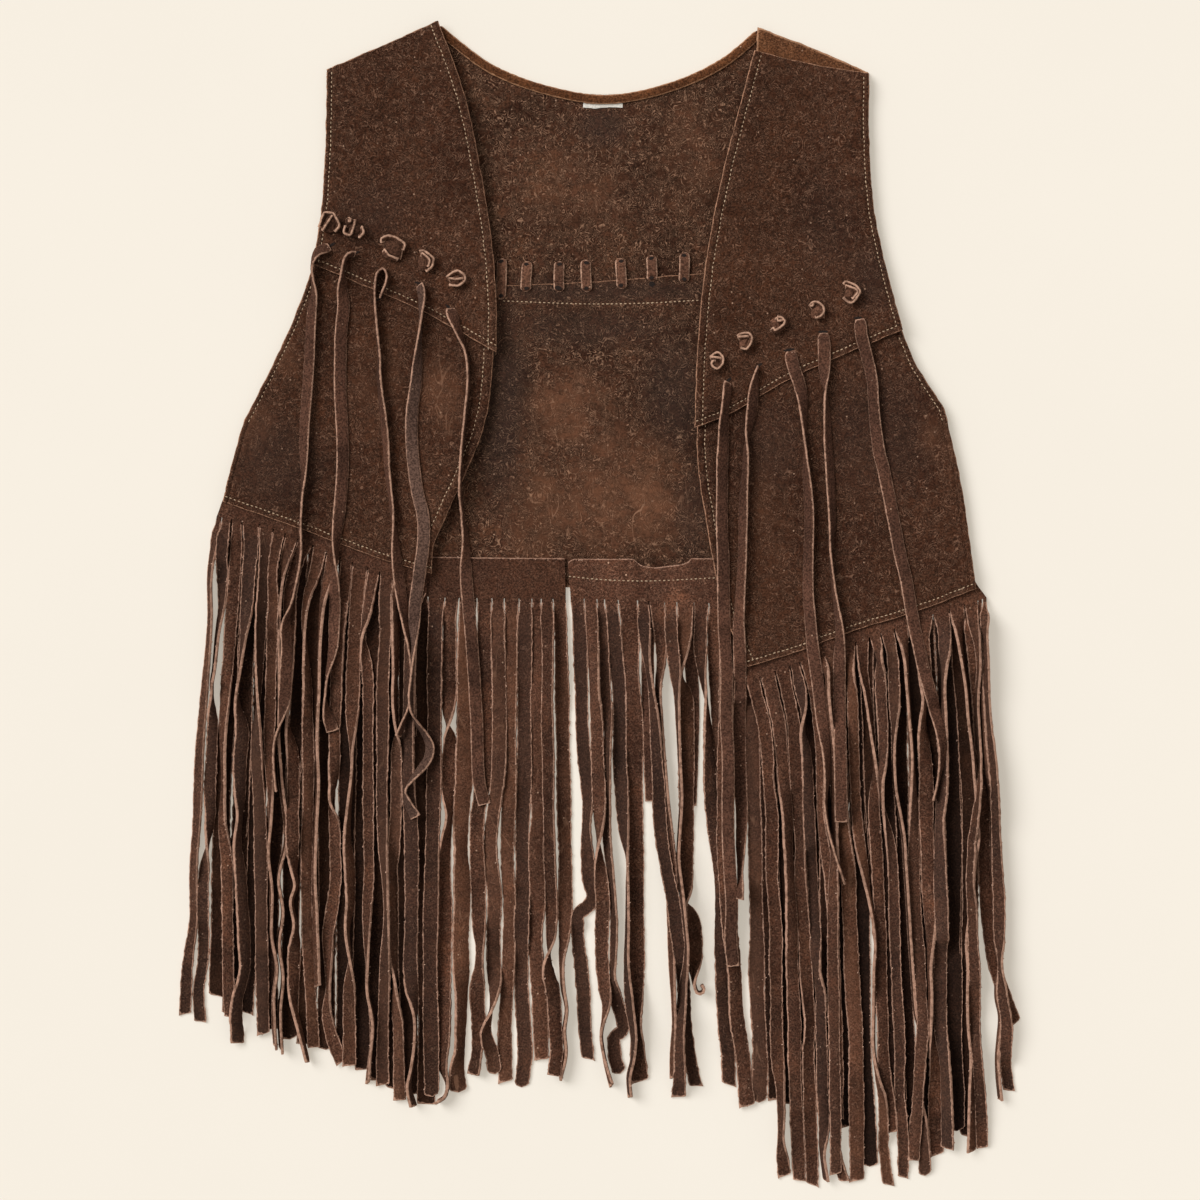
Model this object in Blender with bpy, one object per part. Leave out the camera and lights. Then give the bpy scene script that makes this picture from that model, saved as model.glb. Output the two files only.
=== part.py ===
"""Fringed suede vest lying flat, with its two fronts turned over the back.

The tables are in millimetres and the meshes in metres. +X is the right of the view from above,
+Y is towards the neck, +Z is up, and the vest lies on z = 0. Left and right are those of the view
from above. Every piece is laid in turn on the pieces already under it, so that each one rests on
the next and none of them cut into each other.
"""

import math
import random
from collections import namedtuple

import bpy
import numpy as np

MM = 0.001

# Leather
SUEDE = 1.4
SEAM_GAP = 0.3
BINDING_WIDTH = 7.0
LOOP_WIDTH = 6.5
THONG_WIDTH = 8.6
SLIT = 1.0

# Laying
GRID = 0.5
TOUCH = 0.36
REACH_X = 310.0
REACH_Y = 410.0
SOFTEN = 2
EDGE_LIFT_FROM = 0.7

# Strands
STRAND_STEPS = 8
ROOT_STEPS = (0.0, 0.03, 0.09)
SWAY = (1.0, 3.5)
SWAY_TURNS = (0.8, 1.9)
TILT = (0.05, 0.4)
TILT_TURNS = (0.6, 1.6)
THONG_STEPS = 16
THONG_TILT = 0.3

# Knots
KNOT_RINGS = ((0.0, 0.6), (0.4, 1.0), (0.8, 0.86), (1.0, 0.5))
KNOT_SIDES = 8
KNOT_SEAT = 0.6

# A panel's four cut edges. Each edge is one or more smooth stretches that meet in corners.
Cut = namedtuple("Cut", "top bottom left right columns rows lift_left lift_right")

NECK = ((-107, 386), (-71, 359), (-30, 344), (0, 339), (39, 345), (82, 364), (105, 383))

BACK_YOKE = Cut(
    top=(((-181, 354), (-107, 386)), NECK, ((105, 383), (177, 352))),
    bottom=(((-186, 201), (-67, 198), (3, 196), (67, 199), (186, 201)),),
    left=(((-181, 354), (-181, 302), (-183, 252), (-186, 201)),),
    right=(((177, 352), (176, 309), (178, 258), (186, 201)),),
    columns=20,
    rows=7,
    lift_left=0.0,
    lift_right=0.0,
)
BACK_LOWER = Cut(
    top=(((-187, 210), (-63, 212), (3, 215), (68, 220), (184, 225)),),
    bottom=(((-247, 67), (-180, 39), (-112, 16), (-20, 11), (80, 10), (247, 9)),),
    left=(((-187, 210), (-198, 193), (-219, 147), (-234, 118)), ((-234, 118), (-238, 108), (-247, 67))),
    right=(((184, 225), (198, 182), (209, 157), (225, 130)), ((225, 130), (237, 81), (247, 9))),
    columns=20,
    rows=9,
    lift_left=0.0,
    lift_right=0.0,
)
FRONT_LEFT_YOKE = Cut(
    top=(((-182, 356), (-108, 388)),),
    bottom=(((-191, 226), (-165, 215), (-121, 196), (-69, 167)),),
    left=(((-182, 356), (-183, 302), (-186, 259), (-191, 226)),),
    right=(((-108, 388), (-91, 341), (-79, 285), (-71, 230), (-69, 201), (-69, 167)),),
    columns=10,
    rows=12,
    lift_left=0.0,
    lift_right=3.0,
)
FRONT_LEFT_LOWER = Cut(
    top=(((-188, 234), (-163, 226), (-117, 206), (-71, 179)),),
    bottom=(((-251, 68), (-200, 50), (-137, 27), (-112, 20)),),
    left=(((-188, 234), (-201, 197), (-222, 151), (-237, 122)), ((-237, 122), (-241, 109), (-251, 68))),
    right=(((-71, 179), (-72, 152), (-77, 119), (-88, 90), (-103, 57), (-111, 37), (-112, 20)),),
    columns=11,
    rows=12,
    lift_left=0.0,
    lift_right=3.0,
)
FRONT_RIGHT_YOKE = Cut(
    top=(((103, 368), (133, 361), (154, 357), (179, 353)),),
    bottom=(((63, 117), (79, 123), (127, 150), (172, 170), (201, 182)),),
    left=(((103, 368), (96, 342), (80, 278), (70, 223), (65, 169), (63, 117)),),
    right=(((179, 353), (179, 310), (183, 258), (189, 229), (201, 182)),),
    columns=10,
    rows=13,
    lift_left=3.0,
    lift_right=0.0,
)
FRONT_RIGHT_LOWER = Cut(
    top=(((65, 129), (80, 136), (125, 162), (170, 182), (197, 192)),),
    bottom=(((98, -42), (137, -30), (163, -20), (214, -4), (250, 10)),),
    left=(((65, 129), (65, 96), (71, 54), (78, 15), (85, -11), (98, -42)),),
    right=(((197, 192), (211, 158), (229, 130)), ((229, 130), (240, 81), (250, 10))),
    columns=11,
    rows=12,
    lift_left=3.0,
    lift_right=0.0,
)
SHOULDER_TURN = Cut(
    top=(((105, 384), (140, 371), (179, 354)),),
    bottom=(((104, 360), (135, 353), (177, 346)),),
    left=(((105, 384), (104, 360)),),
    right=(((179, 354), (177, 346)),),
    columns=8,
    rows=3,
    lift_left=0.0,
    lift_right=0.0,
)
LABEL_STUB = Cut(
    top=(((-11, 340), (15, 340)),),
    bottom=(((-11, 331), (15, 331)),),
    left=(((-11, 340), (-11, 331)),),
    right=(((15, 340), (15, 331)),),
    columns=3,
    rows=2,
    lift_left=0.0,
    lift_right=0.0,
)

# A fringe is one strip with a top edge and a root line, slit into strands. The strands are spread
# evenly along the root line, and each has the place of its tip.
Fringe = namedtuple("Fringe", "top root tips seed")

FRONT_LEFT_FRINGE = Fringe(
    top=((-247, 80), (-200, 63), (-137, 41), (-117, 34)),
    root=((-253, 57), (-200, 39), (-137, 16), (-115, 8)),
    tips=(
        (-277, -274), (-267, -279), (-242, -293), (-225, -288), (-217, -296), (-212, -298),
        (-195, -306), (-191, -296), (-175, -308), (-167, -308), (-152, -320), (-144, -322),
        (-135, -331), (-123, -336), (-115, -336), (-107, -331),
    ),
    seed=11,
)
BACK_LEFT_FRINGE = Fringe(
    top=((-243, 82), (-180, 56), (-113, 31), (-23, 30)),
    root=((-248, 54), (-180, 28), (-113, 4), (-23, 2)),
    tips=(
        (-255, -262), (-246, -274), (-237, -272), (-221, -284), (-207, -291), (-197, -294),
        (-183, -298), (-170, -304), (-158, -311), (-147, -318), (-137, -324), (-127, -328),
        (-117, -328), (-110, -327), (-103, -330), (-95, -326), (-84, -313), (-75, -311), (-70, -315),
        (-63, -319), (-52, -322), (-39, -304), (-30, -314), (-25, -318),
    ),
    seed=22,
)
BACK_RIGHT_FRINGE = Fringe(
    top=((-21, 29), (74, 30), (244, 25)),
    root=((-20, 4), (80, 2), (248, -5)),
    tips=(
        (-9, -305), (6, -321), (13, -314), (21, -329), (27, -320), (47, -315), (53, -329),
        (63, -322), (66, -257), (86, -321), (101, -334), (109, -332), (118, -331), (128, -334),
        (137, -336), (147, -339), (157, -343), (167, -347), (177, -350), (187, -352), (197, -342),
        (208, -364), (219, -358), (229, -350), (238, -352), (246, -356), (257, -322), (269, -298),
        (277, -280),
    ),
    seed=33,
)
FRONT_RIGHT_FRINGE = Fringe(
    top=((101, -29), (137, -17), (163, -8), (214, 8), (245, 21)),
    root=((100, -52), (137, -40), (163, -30), (214, -14), (252, 0)),
    tips=(
        (123, -383), (133, -384), (141, -388), (151, -384), (162, -385), (171, -384), (180, -376),
        (193, -388), (201, -384), (217, -383), (225, -368), (231, -363), (249, -365), (255, -364),
        (267, -330), (273, -326),
    ),
    seed=44,
)

# Lacing loops on the inside of the back: the upper end of each bar, and its length.
LOOPS = (
    (-66, 230, 26), (-49, 228, 20), (-27, 228, 20), (-9, 229, 21), (14, 230, 20), (34, 232, 18),
    (56, 234, 20),
)

# Thong ends of the outside of the back, from its hem to the tip.
TAILS = (((35, 8), (32, -60), (33, -132)), ((58, 8), (66, -60), (63, -135)))

# Knots on the front yokes: place, half sizes across and along, height and turn in degrees.
KNOTS_LEFT = (
    (-179, 254, 5.5, 4.5, 5.5, 20),
    (-164, 249, 5.5, 5.0, 6.0, -15),
    (-137, 237, 7.0, 5.5, 6.5, 35),
    (-117, 227, 6.0, 5.0, 6.0, 10),
    (-95, 216, 6.0, 5.0, 6.0, -25),
)
KNOTS_RIGHT = (
    (78, 161, 5.5, 6.5, 6.0, 15),
    (97, 175, 6.0, 5.0, 6.0, -30),
    (119, 186, 5.5, 5.0, 6.0, 40),
    (145, 195, 6.0, 5.0, 6.0, 0),
    (167, 206, 5.5, 5.0, 5.5, 25),
)

# Long thongs of the front yokes, each from its hole to its tip.
THONGS_LEFT = (
    ((-180, 237), (-189, 226), (-187, 204), (-197, 123), (-198, 56), (-208, -13), (-208, -58),
     (-215, -124)),
    ((-163, 232), (-170, 222), (-173, 166), (-175, 109), (-177, 46), (-172, 9), (-180, -45), (-178, -85)),
    ((-145, 222), (-149, 209), (-145, 160), (-139, 109), (-135, 59), (-126, 8), (-127, -38), (-134, -92)),
    ((-119, 210), (-121, 192), (-125, 138), (-125, 110), (-117, 57), (-123, -12), (-125, -64),
     (-113, -94), (-125, -140)),
    ((-99, 196), (-92, 178), (-88, 160), (-91, 110), (-91, 48), (-86, -20), (-82, -104), (-78, -134)),
)
THONGS_RIGHT = (
    ((85, 146), (80, 127), (79, 71), (82, 28), (83, -48), (85, -124), (87, -240)),
    ((105, 158), (100, 137), (97, 71), (93, 0), (93, -56), (96, -124), (93, -195)),
    ((127, 166), (134, 140), (138, 88), (138, 28), (143, -48), (149, -124), (162, -184)),
    ((149, 179), (149, 136), (151, 62), (156, 9), (159, -51), (160, -145)),
    ((173, 189), (181, 144), (188, 94), (198, 36), (212, -31), (227, -98), (222, -132)),
)

# Name, linear base colour and roughness of each material.
COLOURS = {
    "suede_front": ((0.062, 0.026, 0.015), 0.95),
    "suede_back": ((0.078, 0.033, 0.019), 0.95),
    "suede_fringe": ((0.075, 0.034, 0.021), 0.95),
    "suede_thong": ((0.066, 0.029, 0.018), 0.95),
    "suede_binding": ((0.115, 0.048, 0.022), 0.9),
    "label_cloth": ((0.72, 0.70, 0.66), 0.9),
}


class Pile:
    """Height of what has been laid so far, on a fine grid over the surface."""

    def __init__(self):
        self.height = np.zeros((int(2 * REACH_Y / GRID) + 1, int(2 * REACH_X / GRID) + 1))

    def copy(self):
        other = Pile()
        other.height = self.height.copy()
        return other

    def window(self, triangle):
        """Slices of the grid round a triangle, the places of its points, and which of them it touches."""
        low = np.floor((triangle.min(axis=0) + (REACH_X, REACH_Y)) / GRID).astype(int) - 1
        high = np.ceil((triangle.max(axis=0) + (REACH_X, REACH_Y)) / GRID).astype(int) + 2
        x = (np.arange(low[0], high[0]) * GRID - REACH_X)[None, :]
        y = (np.arange(low[1], high[1]) * GRID - REACH_Y)[:, None]
        after = np.roll(triangle, -1, axis=0)
        area = np.sum(triangle[:, 0] * after[:, 1] - triangle[:, 1] * after[:, 0])
        mask = np.ones((high[1] - low[1], high[0] - low[0]), bool)
        for (ax, ay), (bx, by) in zip(triangle, after):
            length = math.hypot(bx - ax, by - ay)
            if length > 1e-9:
                side = ((bx - ax) * (y - ay) - (by - ay) * (x - ax)) / length
                mask &= np.sign(area) * side >= -TOUCH
        return (slice(low[1], high[1]), slice(low[0], high[0])), x, y, mask

    def under(self, quad):
        """The highest point below a quad, given in plan."""
        top = 0.0
        for corners in ((0, 1, 2), (0, 2, 3)):
            where, _, _, mask = self.window(quad[list(corners)])
            if mask.any():
                top = max(top, float(self.height[where][mask].max()))
        return top

    def cover(self, points, triangles):
        """Adds a piece's surface to the pile."""
        for corners in triangles:
            a, b, c = points[list(corners)]
            d, e = b - a, c - a
            area = d[0] * e[1] - d[1] * e[0]
            if abs(area) < 1e-6:
                continue
            slope_x = (d[2] * e[1] - e[2] * d[1]) / area
            slope_y = (d[0] * e[2] - e[0] * d[2]) / area
            where, x, y, mask = self.window(np.array([a[:2], b[:2], c[:2]]))
            z = a[2] + slope_x * (x - a[0]) + slope_y * (y - a[1]) + TOUCH * math.hypot(slope_x, slope_y)
            z = np.clip(z, min(a[2], b[2], c[2]), max(a[2], b[2], c[2]))
            self.height[where] = np.where(mask, np.maximum(self.height[where], z), self.height[where])


def material(name):
    colour, roughness = COLOURS[name]
    made = bpy.data.materials.get(name) or bpy.data.materials.new(name)
    made.use_nodes = True
    shader = made.node_tree.nodes["Principled BSDF"]
    shader.inputs["Base Color"].default_value = (*colour, 1.0)
    shader.inputs["Roughness"].default_value = roughness
    return made


def add_object(name, points, triangles, finish):
    mesh = bpy.data.meshes.new(name)
    mesh.from_pydata([tuple(MM * value for value in point) for point in points], [], triangles)
    mesh.materials.append(material(finish))
    made = bpy.data.objects.new(name, mesh)
    bpy.context.scene.collection.objects.link(made)
    return made


def spline(points, fractions):
    """Points at given shares of the length of a smooth curve through the given points."""
    knots = np.array(points, float)
    if len(knots) == 2:
        fractions = np.asarray(fractions)[:, None]
        return knots[0] * (1 - fractions) + knots[1] * fractions
    span = np.linalg.norm(np.diff(knots, axis=0), axis=1)
    at = np.concatenate([[0.0], np.cumsum(span)])
    slope = np.gradient(knots, at, axis=0)
    fine = np.linspace(0.0, at[-1], 40 * len(knots))
    k = np.clip(np.searchsorted(at, fine, side="right") - 1, 0, len(span) - 1)
    t = ((fine - at[k]) / span[k])[:, None]
    h = span[k][:, None]
    line = (
        (1 + 2 * t) * (1 - t) ** 2 * knots[k]
        + t * (1 - t) ** 2 * h * slope[k]
        + t * t * (3 - 2 * t) * knots[k + 1]
        + t * t * (t - 1) * h * slope[k + 1]
    )
    run = np.concatenate([[0.0], np.cumsum(np.linalg.norm(np.diff(line, axis=0), axis=1))])
    where = np.asarray(fractions) * run[-1]
    return np.stack([np.interp(where, run, line[:, i]) for i in range(line.shape[1])], axis=1)


def edge(stretches, count):
    """An edge as count + 1 points, with a point on each corner between its stretches."""
    lengths = [sum(math.dist(a, b) for a, b in zip(points, points[1:])) for points in stretches]
    shares = [round(count * sum(lengths[: i + 1]) / sum(lengths)) for i in range(len(lengths))]
    rows = [np.array([stretches[0][0]], float)]
    start = 0
    for points, end in zip(stretches, shares):
        rows.append(spline(points, np.linspace(0, 1, end - start + 1))[1:])
        start = end
    return np.concatenate(rows)


def plan_of(cut):
    """A panel's points in plan, filled in between its four edges."""
    top, bottom = edge(cut.top, cut.columns), edge(cut.bottom, cut.columns)
    left, right = edge(cut.left, cut.rows), edge(cut.right, cut.rows)
    u = np.linspace(0, 1, cut.columns + 1)[None, :, None]
    v = np.linspace(0, 1, cut.rows + 1)[:, None, None]
    across = (1 - u) * left[:, None] + u * right[:, None]
    down = (1 - v) * top[None] + v * bottom[None]
    corners = (1 - v) * ((1 - u) * top[0] + u * top[-1]) + v * ((1 - u) * bottom[0] + u * bottom[-1])
    return across + down - corners


def grid_quads(rows, columns):
    """Faces of a grid of points, which run anticlockwise from above."""
    at = np.arange((rows + 1) * (columns + 1)).reshape(rows + 1, columns + 1)
    return [
        (int(at[i, j]), int(at[i + 1, j]), int(at[i + 1, j + 1]), int(at[i, j + 1]))
        for i in range(rows)
        for j in range(columns)
    ]


def skin(under, over, quads):
    """The closed surface of a wall between two sheets of points: its points and triangles."""
    count = len(under)
    faces = [tuple(i + count for i in quad) for quad in quads]
    faces += [tuple(reversed(quad)) for quad in quads]
    sides = {(a, b) for quad in quads for a, b in zip(quad, quad[1:] + quad[:1])}
    faces += [(a, b, b + count, a + count) for a, b in sorted(sides) if (b, a) not in sides]
    triangles = [(f[0], f[i], f[i + 1]) for f in faces for i in range(1, len(f) - 1)]
    return np.concatenate([under, over]), triangles


def rest(pile, plan, lift=0.0, at_least=0.0):
    """Height of the underside of a sheet's points when it is laid on the pile."""
    rows, columns = plan.shape[0] - 1, plan.shape[1] - 1
    need = np.zeros(plan.shape[:2])
    for i in range(rows):
        for j in range(columns):
            corners = [(i, j), (i + 1, j), (i + 1, j + 1), (i, j + 1)]
            below = pile.under(np.array([plan[c] for c in corners]))
            for c in corners:
                need[c] = max(need[c], below)
    need = np.maximum(np.where(need > 0, need + SEAM_GAP, 0.0), at_least) + lift
    height = need.copy()
    for _ in range(SOFTEN):
        wide = np.pad(height, 1, mode="edge")
        mean = (wide[:-2, 1:-1] + wide[2:, 1:-1] + wide[1:-1, :-2] + wide[1:-1, 2:]) / 4
        height = np.maximum(need, 0.5 * height + 0.5 * mean)
    return height


def lay_sheet(pile, name, plan, finish, lift=0.0):
    height = rest(pile, plan, lift)
    flat = plan.reshape(-1, 2)
    under = np.column_stack([flat, height.ravel()])
    over = under + (0.0, 0.0, SUEDE)
    points, triangles = skin(under, over, grid_quads(plan.shape[0] - 1, plan.shape[1] - 1))
    pile.cover(points, triangles)
    add_object(name, points, triangles, finish)


def ease(x):
    x = np.clip(x, 0.0, 1.0)
    return x * x * (3 - 2 * x)


def lay_panel(pile, name, cut, finish):
    """A cut panel, with its loose edge standing a little off what lies below."""
    u = np.linspace(0, 1, cut.columns + 1)[None, :]
    lift_right = cut.lift_right * ease((u - EDGE_LIFT_FROM) / (1 - EDGE_LIFT_FROM))
    lift_left = cut.lift_left * ease((1 - u - EDGE_LIFT_FROM) / (1 - EDGE_LIFT_FROM))
    v = np.linspace(0, 1, cut.rows + 1)[:, None]
    lift = (lift_left + lift_right) * np.sin(np.pi * (0.15 + 0.7 * v))
    lay_sheet(pile, name, plan_of(cut), finish, lift)


def lay_binding(pile):
    """The neck's edge, folded to the inside."""
    line = spline(NECK, np.linspace(0.01, 0.99, 27))
    along = np.gradient(line, axis=0)
    along /= np.linalg.norm(along, axis=1)[:, None]
    inwards = np.column_stack([along[:, 1], -along[:, 0]])
    plan = np.stack([line + inwards * BINDING_WIDTH * share for share in (0.0, 0.5, 1.0)])
    lay_sheet(pile, "neck_binding", plan, "suede_binding")


def across(path):
    """The level direction across a strand at each of its points, to +X where it runs towards -Y."""
    along = np.gradient(path, axis=0)
    along /= np.linalg.norm(along, axis=1)[:, None]
    return np.column_stack([-along[:, 1], along[:, 0]])


def strand_rest(pile, path, width, tilt, before=None, root=None):
    """Height of a strand's centre along its path. A strand with a root starts at that height."""
    side = across(path)
    half = (0.5 * width * np.cos(tilt) + 0.5 * SUEDE * np.abs(np.sin(tilt)))[:, None]
    low, high = path - side * half, path + side * half
    reach = 0.5 * width * np.abs(np.sin(tilt)) + 0.5 * SUEDE * np.cos(tilt)
    need = np.zeros(len(path))
    for k in range(len(path) - 1):
        field = before if k == 0 and before else pile
        below = field.under(np.array([low[k], low[k + 1], high[k + 1], high[k]]))
        need[k] = max(need[k], below)
        need[k + 1] = max(need[k + 1], below)
    need += SEAM_GAP + reach
    if root is not None:
        need[0] = root
    height = need.copy()
    for _ in range(SOFTEN):
        wide = np.pad(height, 1, mode="edge")
        height = np.maximum(need, 0.5 * height + 0.25 * (wide[:-2] + wide[2:]))
        height[0] = height[0] if root is None else root
    return height


def strand_edges(path, width, tilt, height):
    """Under and over points of a strand's two edges, two to each of its sections."""
    side = across(path)
    under, over = [], []
    for p, s, w, t, z in zip(path, side, width, tilt, height):
        for end in (-1, 1):
            for face, points in ((-1, under), (1, over)):
                level = p + s * (end * 0.5 * w * math.cos(t) - face * 0.5 * SUEDE * math.sin(t))
                rise = z + end * 0.5 * w * math.sin(t) + face * 0.5 * SUEDE * math.cos(t)
                points.append((*level, rise))
    return np.array(under), np.array(over)


def ladder_quads(sections):
    return [(2 * k, 2 * k + 2, 2 * k + 3, 2 * k + 1) for k in range(sections - 1)]


def lay_strand(pile, name, path, width, tilt, finish):
    """A strand that stands alone."""
    widths = np.full(len(path), width)
    height = strand_rest(pile, path, widths, tilt)
    under, over = strand_edges(path, widths, tilt, height)
    points, triangles = skin(under, over, ladder_quads(len(path)))
    pile.cover(points, triangles)
    add_object(name, points, triangles, finish)


def wave(rng, size, turns):
    """A seeded wave along a strand, which starts at nothing and is at full size from a third of the way."""
    size, turns, phase = rng.uniform(*size), rng.uniform(*turns), rng.random()
    sign = rng.choice((-1, 1))
    return lambda s: sign * size * np.sin(2 * np.pi * (turns * s + phase)) * ease((s - 0.06) / 0.3)


def lay_fringe(pile, name, fringe, finish):
    """A strip slit into strands. The strands are fused into the strip at their roots."""
    rng = random.Random(fringe.seed)
    count = len(fringe.tips)
    length = sum(math.dist(a, b) for a, b in zip(fringe.root, fringe.root[1:]))
    bounds = [(i + (rng.uniform(-0.12, 0.12) if 0 < i < count else 0.0)) / count for i in range(count + 1)]
    inset = 0.5 * SLIT / length
    marks = [m for a, b in zip(bounds, bounds[1:]) for m in (a + inset, b - inset)]
    top, root = spline(fringe.top, marks), spline(fringe.root, marks)
    strip = np.stack([top * (1 - v) + root * v for v in (0.0, 0.5, 1.0)])

    steps = np.concatenate([ROOT_STEPS, np.linspace(ROOT_STEPS[-1], 1.0, STRAND_STEPS + 1)[1:]])
    strands = []
    for i, tip in enumerate(fringe.tips):
        start = 0.5 * (root[2 * i] + root[2 * i + 1])
        sway, twist = wave(rng, SWAY, SWAY_TURNS), wave(rng, TILT, TILT_TURNS)
        lean = steps + 0.5 * (ease(steps) - steps)
        path = np.column_stack([
            start[0] + (tip[0] - start[0]) * lean + sway(steps),
            start[1] + (tip[1] - start[1]) * steps,
        ])
        width = np.full(len(steps), root[2 * i + 1][0] - root[2 * i][0])
        strands.append((path, width, twist(steps)))

    before = pile.copy()
    roots = np.zeros(strip.shape[:2])
    for i, (path, width, tilt) in enumerate(strands):
        first = strand_rest(before, path[:2], width[:2], tilt[:2])[0] - 0.5 * SUEDE
        roots[2, 2 * i: 2 * i + 2] = first
    height = rest(pile, strip, 0.0, roots)
    for i in range(count):
        height[2, 2 * i: 2 * i + 2] = height[2, 2 * i: 2 * i + 2].max()

    under = [np.column_stack([strip.reshape(-1, 2), height.ravel()])]
    over = [under[0] + (0.0, 0.0, SUEDE)]
    quads = grid_quads(2, 2 * count - 1)
    pile.cover(*skin(under[0], over[0], quads))
    used = len(under[0])
    for i in [*range(0, count, 2), *range(1, count, 2)]:
        path, width, tilt = strands[i]
        start = 4 * count + 2 * i
        lift = strand_rest(pile, path, width, tilt, before, height[2, 2 * i] + 0.5 * SUEDE)
        low, high = strand_edges(path, width, tilt, lift)
        low[:2], high[:2] = under[0][start: start + 2], over[0][start: start + 2]
        ladder = ladder_quads(len(path))
        pile.cover(*skin(low, high, ladder))
        index = [start, start + 1, *range(used, used + len(low) - 2)]
        quads += [tuple(index[k] for k in quad) for quad in ladder]
        under.append(low[2:])
        over.append(high[2:])
        used += len(low) - 2
    points, triangles = skin(np.concatenate(under), np.concatenate(over), quads)
    add_object(name, points, triangles, finish)


def lay_loops(pile):
    for i, (x, y, length) in enumerate(LOOPS, 1):
        path = spline(((x, y), (x, y - length)), np.linspace(0, 1, 4))
        lay_strand(pile, f"back_loop_{i}", path, LOOP_WIDTH, np.zeros(4), "suede_thong")


def lay_tails(pile):
    for i, route in enumerate(TAILS, 1):
        path = spline(route, np.linspace(0, 1, 6))
        lay_strand(pile, f"back_thong_end_{i}", path, THONG_WIDTH, np.zeros(6), "suede_thong")


def lay_thongs(pile, side, routes):
    rng = random.Random(f"thongs {side}")
    steps = np.linspace(0, 1, THONG_STEPS + 1)
    for i, route in enumerate(routes, 1):
        tilt = wave(rng, (0.1, THONG_TILT), TILT_TURNS)(steps)
        lay_strand(pile, f"thong_{side}_{i}", spline(route, steps), THONG_WIDTH, tilt, "suede_thong")


def lay_knots(pile, side, knots):
    """A knot is a lump of wound thong that sits on its yoke."""
    for i, (x, y, half_x, half_y, tall, turn) in enumerate(knots, 1):
        c, s = math.cos(math.radians(turn)), math.sin(math.radians(turn))
        corners = ((-1, -1), (1, -1), (1, 1), (-1, 1))
        seat = [(px * half_x * KNOT_SEAT, py * half_y * KNOT_SEAT) for px, py in corners]
        spots = [(x + px * c - py * s, y + px * s + py * c) for px, py in seat]
        base = SEAM_GAP + pile.under(np.array(spots))
        points, triangles = [], []
        for rise, size in KNOT_RINGS:
            for k in range(KNOT_SIDES):
                a = 2 * math.pi * (k + 0.5) / KNOT_SIDES
                px, py = half_x * size * math.cos(a), half_y * size * math.sin(a)
                points.append((x + px * c - py * s, y + px * s + py * c, base + rise * tall))
        last = KNOT_SIDES * (len(KNOT_RINGS) - 1)
        for ring in range(len(KNOT_RINGS) - 1):
            for k in range(KNOT_SIDES):
                a, b = ring * KNOT_SIDES + k, ring * KNOT_SIDES + (k + 1) % KNOT_SIDES
                triangles += [(a, b, b + KNOT_SIDES), (a, b + KNOT_SIDES, a + KNOT_SIDES)]
        for k in range(1, KNOT_SIDES - 1):
            triangles += [(0, k + 1, k), (last, last + k, last + k + 1)]
        pile.cover(np.array(points), triangles)
        add_object(f"knot_{side}_{i}", points, triangles, "suede_thong")


def main():
    for old in list(bpy.data.objects):
        bpy.data.objects.remove(old)
    pile = Pile()
    lay_panel(pile, "back_yoke", BACK_YOKE, "suede_back")
    lay_panel(pile, "back_lower", BACK_LOWER, "suede_back")
    lay_panel(pile, "label_stub", LABEL_STUB, "label_cloth")
    lay_binding(pile)
    lay_loops(pile)
    lay_tails(pile)
    lay_fringe(pile, "back_fringe_left", BACK_LEFT_FRINGE, "suede_fringe")
    lay_fringe(pile, "back_fringe_right", BACK_RIGHT_FRINGE, "suede_fringe")
    lay_fringe(pile, "front_left_fringe", FRONT_LEFT_FRINGE, "suede_fringe")
    lay_panel(pile, "front_left_lower", FRONT_LEFT_LOWER, "suede_front")
    lay_panel(pile, "front_left_yoke", FRONT_LEFT_YOKE, "suede_front")
    lay_fringe(pile, "front_right_fringe", FRONT_RIGHT_FRINGE, "suede_fringe")
    lay_panel(pile, "front_right_lower", FRONT_RIGHT_LOWER, "suede_front")
    lay_panel(pile, "shoulder_turn_right", SHOULDER_TURN, "suede_binding")
    lay_panel(pile, "front_right_yoke", FRONT_RIGHT_YOKE, "suede_front")
    lay_knots(pile, "left", KNOTS_LEFT)
    lay_knots(pile, "right", KNOTS_RIGHT)
    lay_thongs(pile, "left", THONGS_LEFT)
    lay_thongs(pile, "right", THONGS_RIGHT)


main()
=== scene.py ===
"""Looks of the fringed suede vest, which lies flat with its two fronts turned over the back.

The tables are in millimetres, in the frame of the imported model: +X is the right of the view from above,
+Y is towards the neck and +Z is up. Left and right are those of the view from above. Every piece is laid
in turn on the pieces under it.
"""

import copy
import math
import random
from collections import namedtuple

import bpy
import numpy as np
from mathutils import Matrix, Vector


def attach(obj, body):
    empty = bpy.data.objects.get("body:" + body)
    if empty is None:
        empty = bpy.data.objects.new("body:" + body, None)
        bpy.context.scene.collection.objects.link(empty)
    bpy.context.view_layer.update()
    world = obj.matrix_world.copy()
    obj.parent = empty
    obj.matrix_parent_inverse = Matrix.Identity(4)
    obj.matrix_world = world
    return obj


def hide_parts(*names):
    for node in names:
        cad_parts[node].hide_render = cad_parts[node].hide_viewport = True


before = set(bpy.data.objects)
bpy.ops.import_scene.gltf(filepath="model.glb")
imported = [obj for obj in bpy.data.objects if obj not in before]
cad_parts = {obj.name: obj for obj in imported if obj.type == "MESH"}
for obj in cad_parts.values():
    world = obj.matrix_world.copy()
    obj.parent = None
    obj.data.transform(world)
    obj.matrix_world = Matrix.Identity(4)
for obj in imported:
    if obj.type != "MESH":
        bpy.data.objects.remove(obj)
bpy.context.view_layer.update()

MM = 0.001

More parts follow.
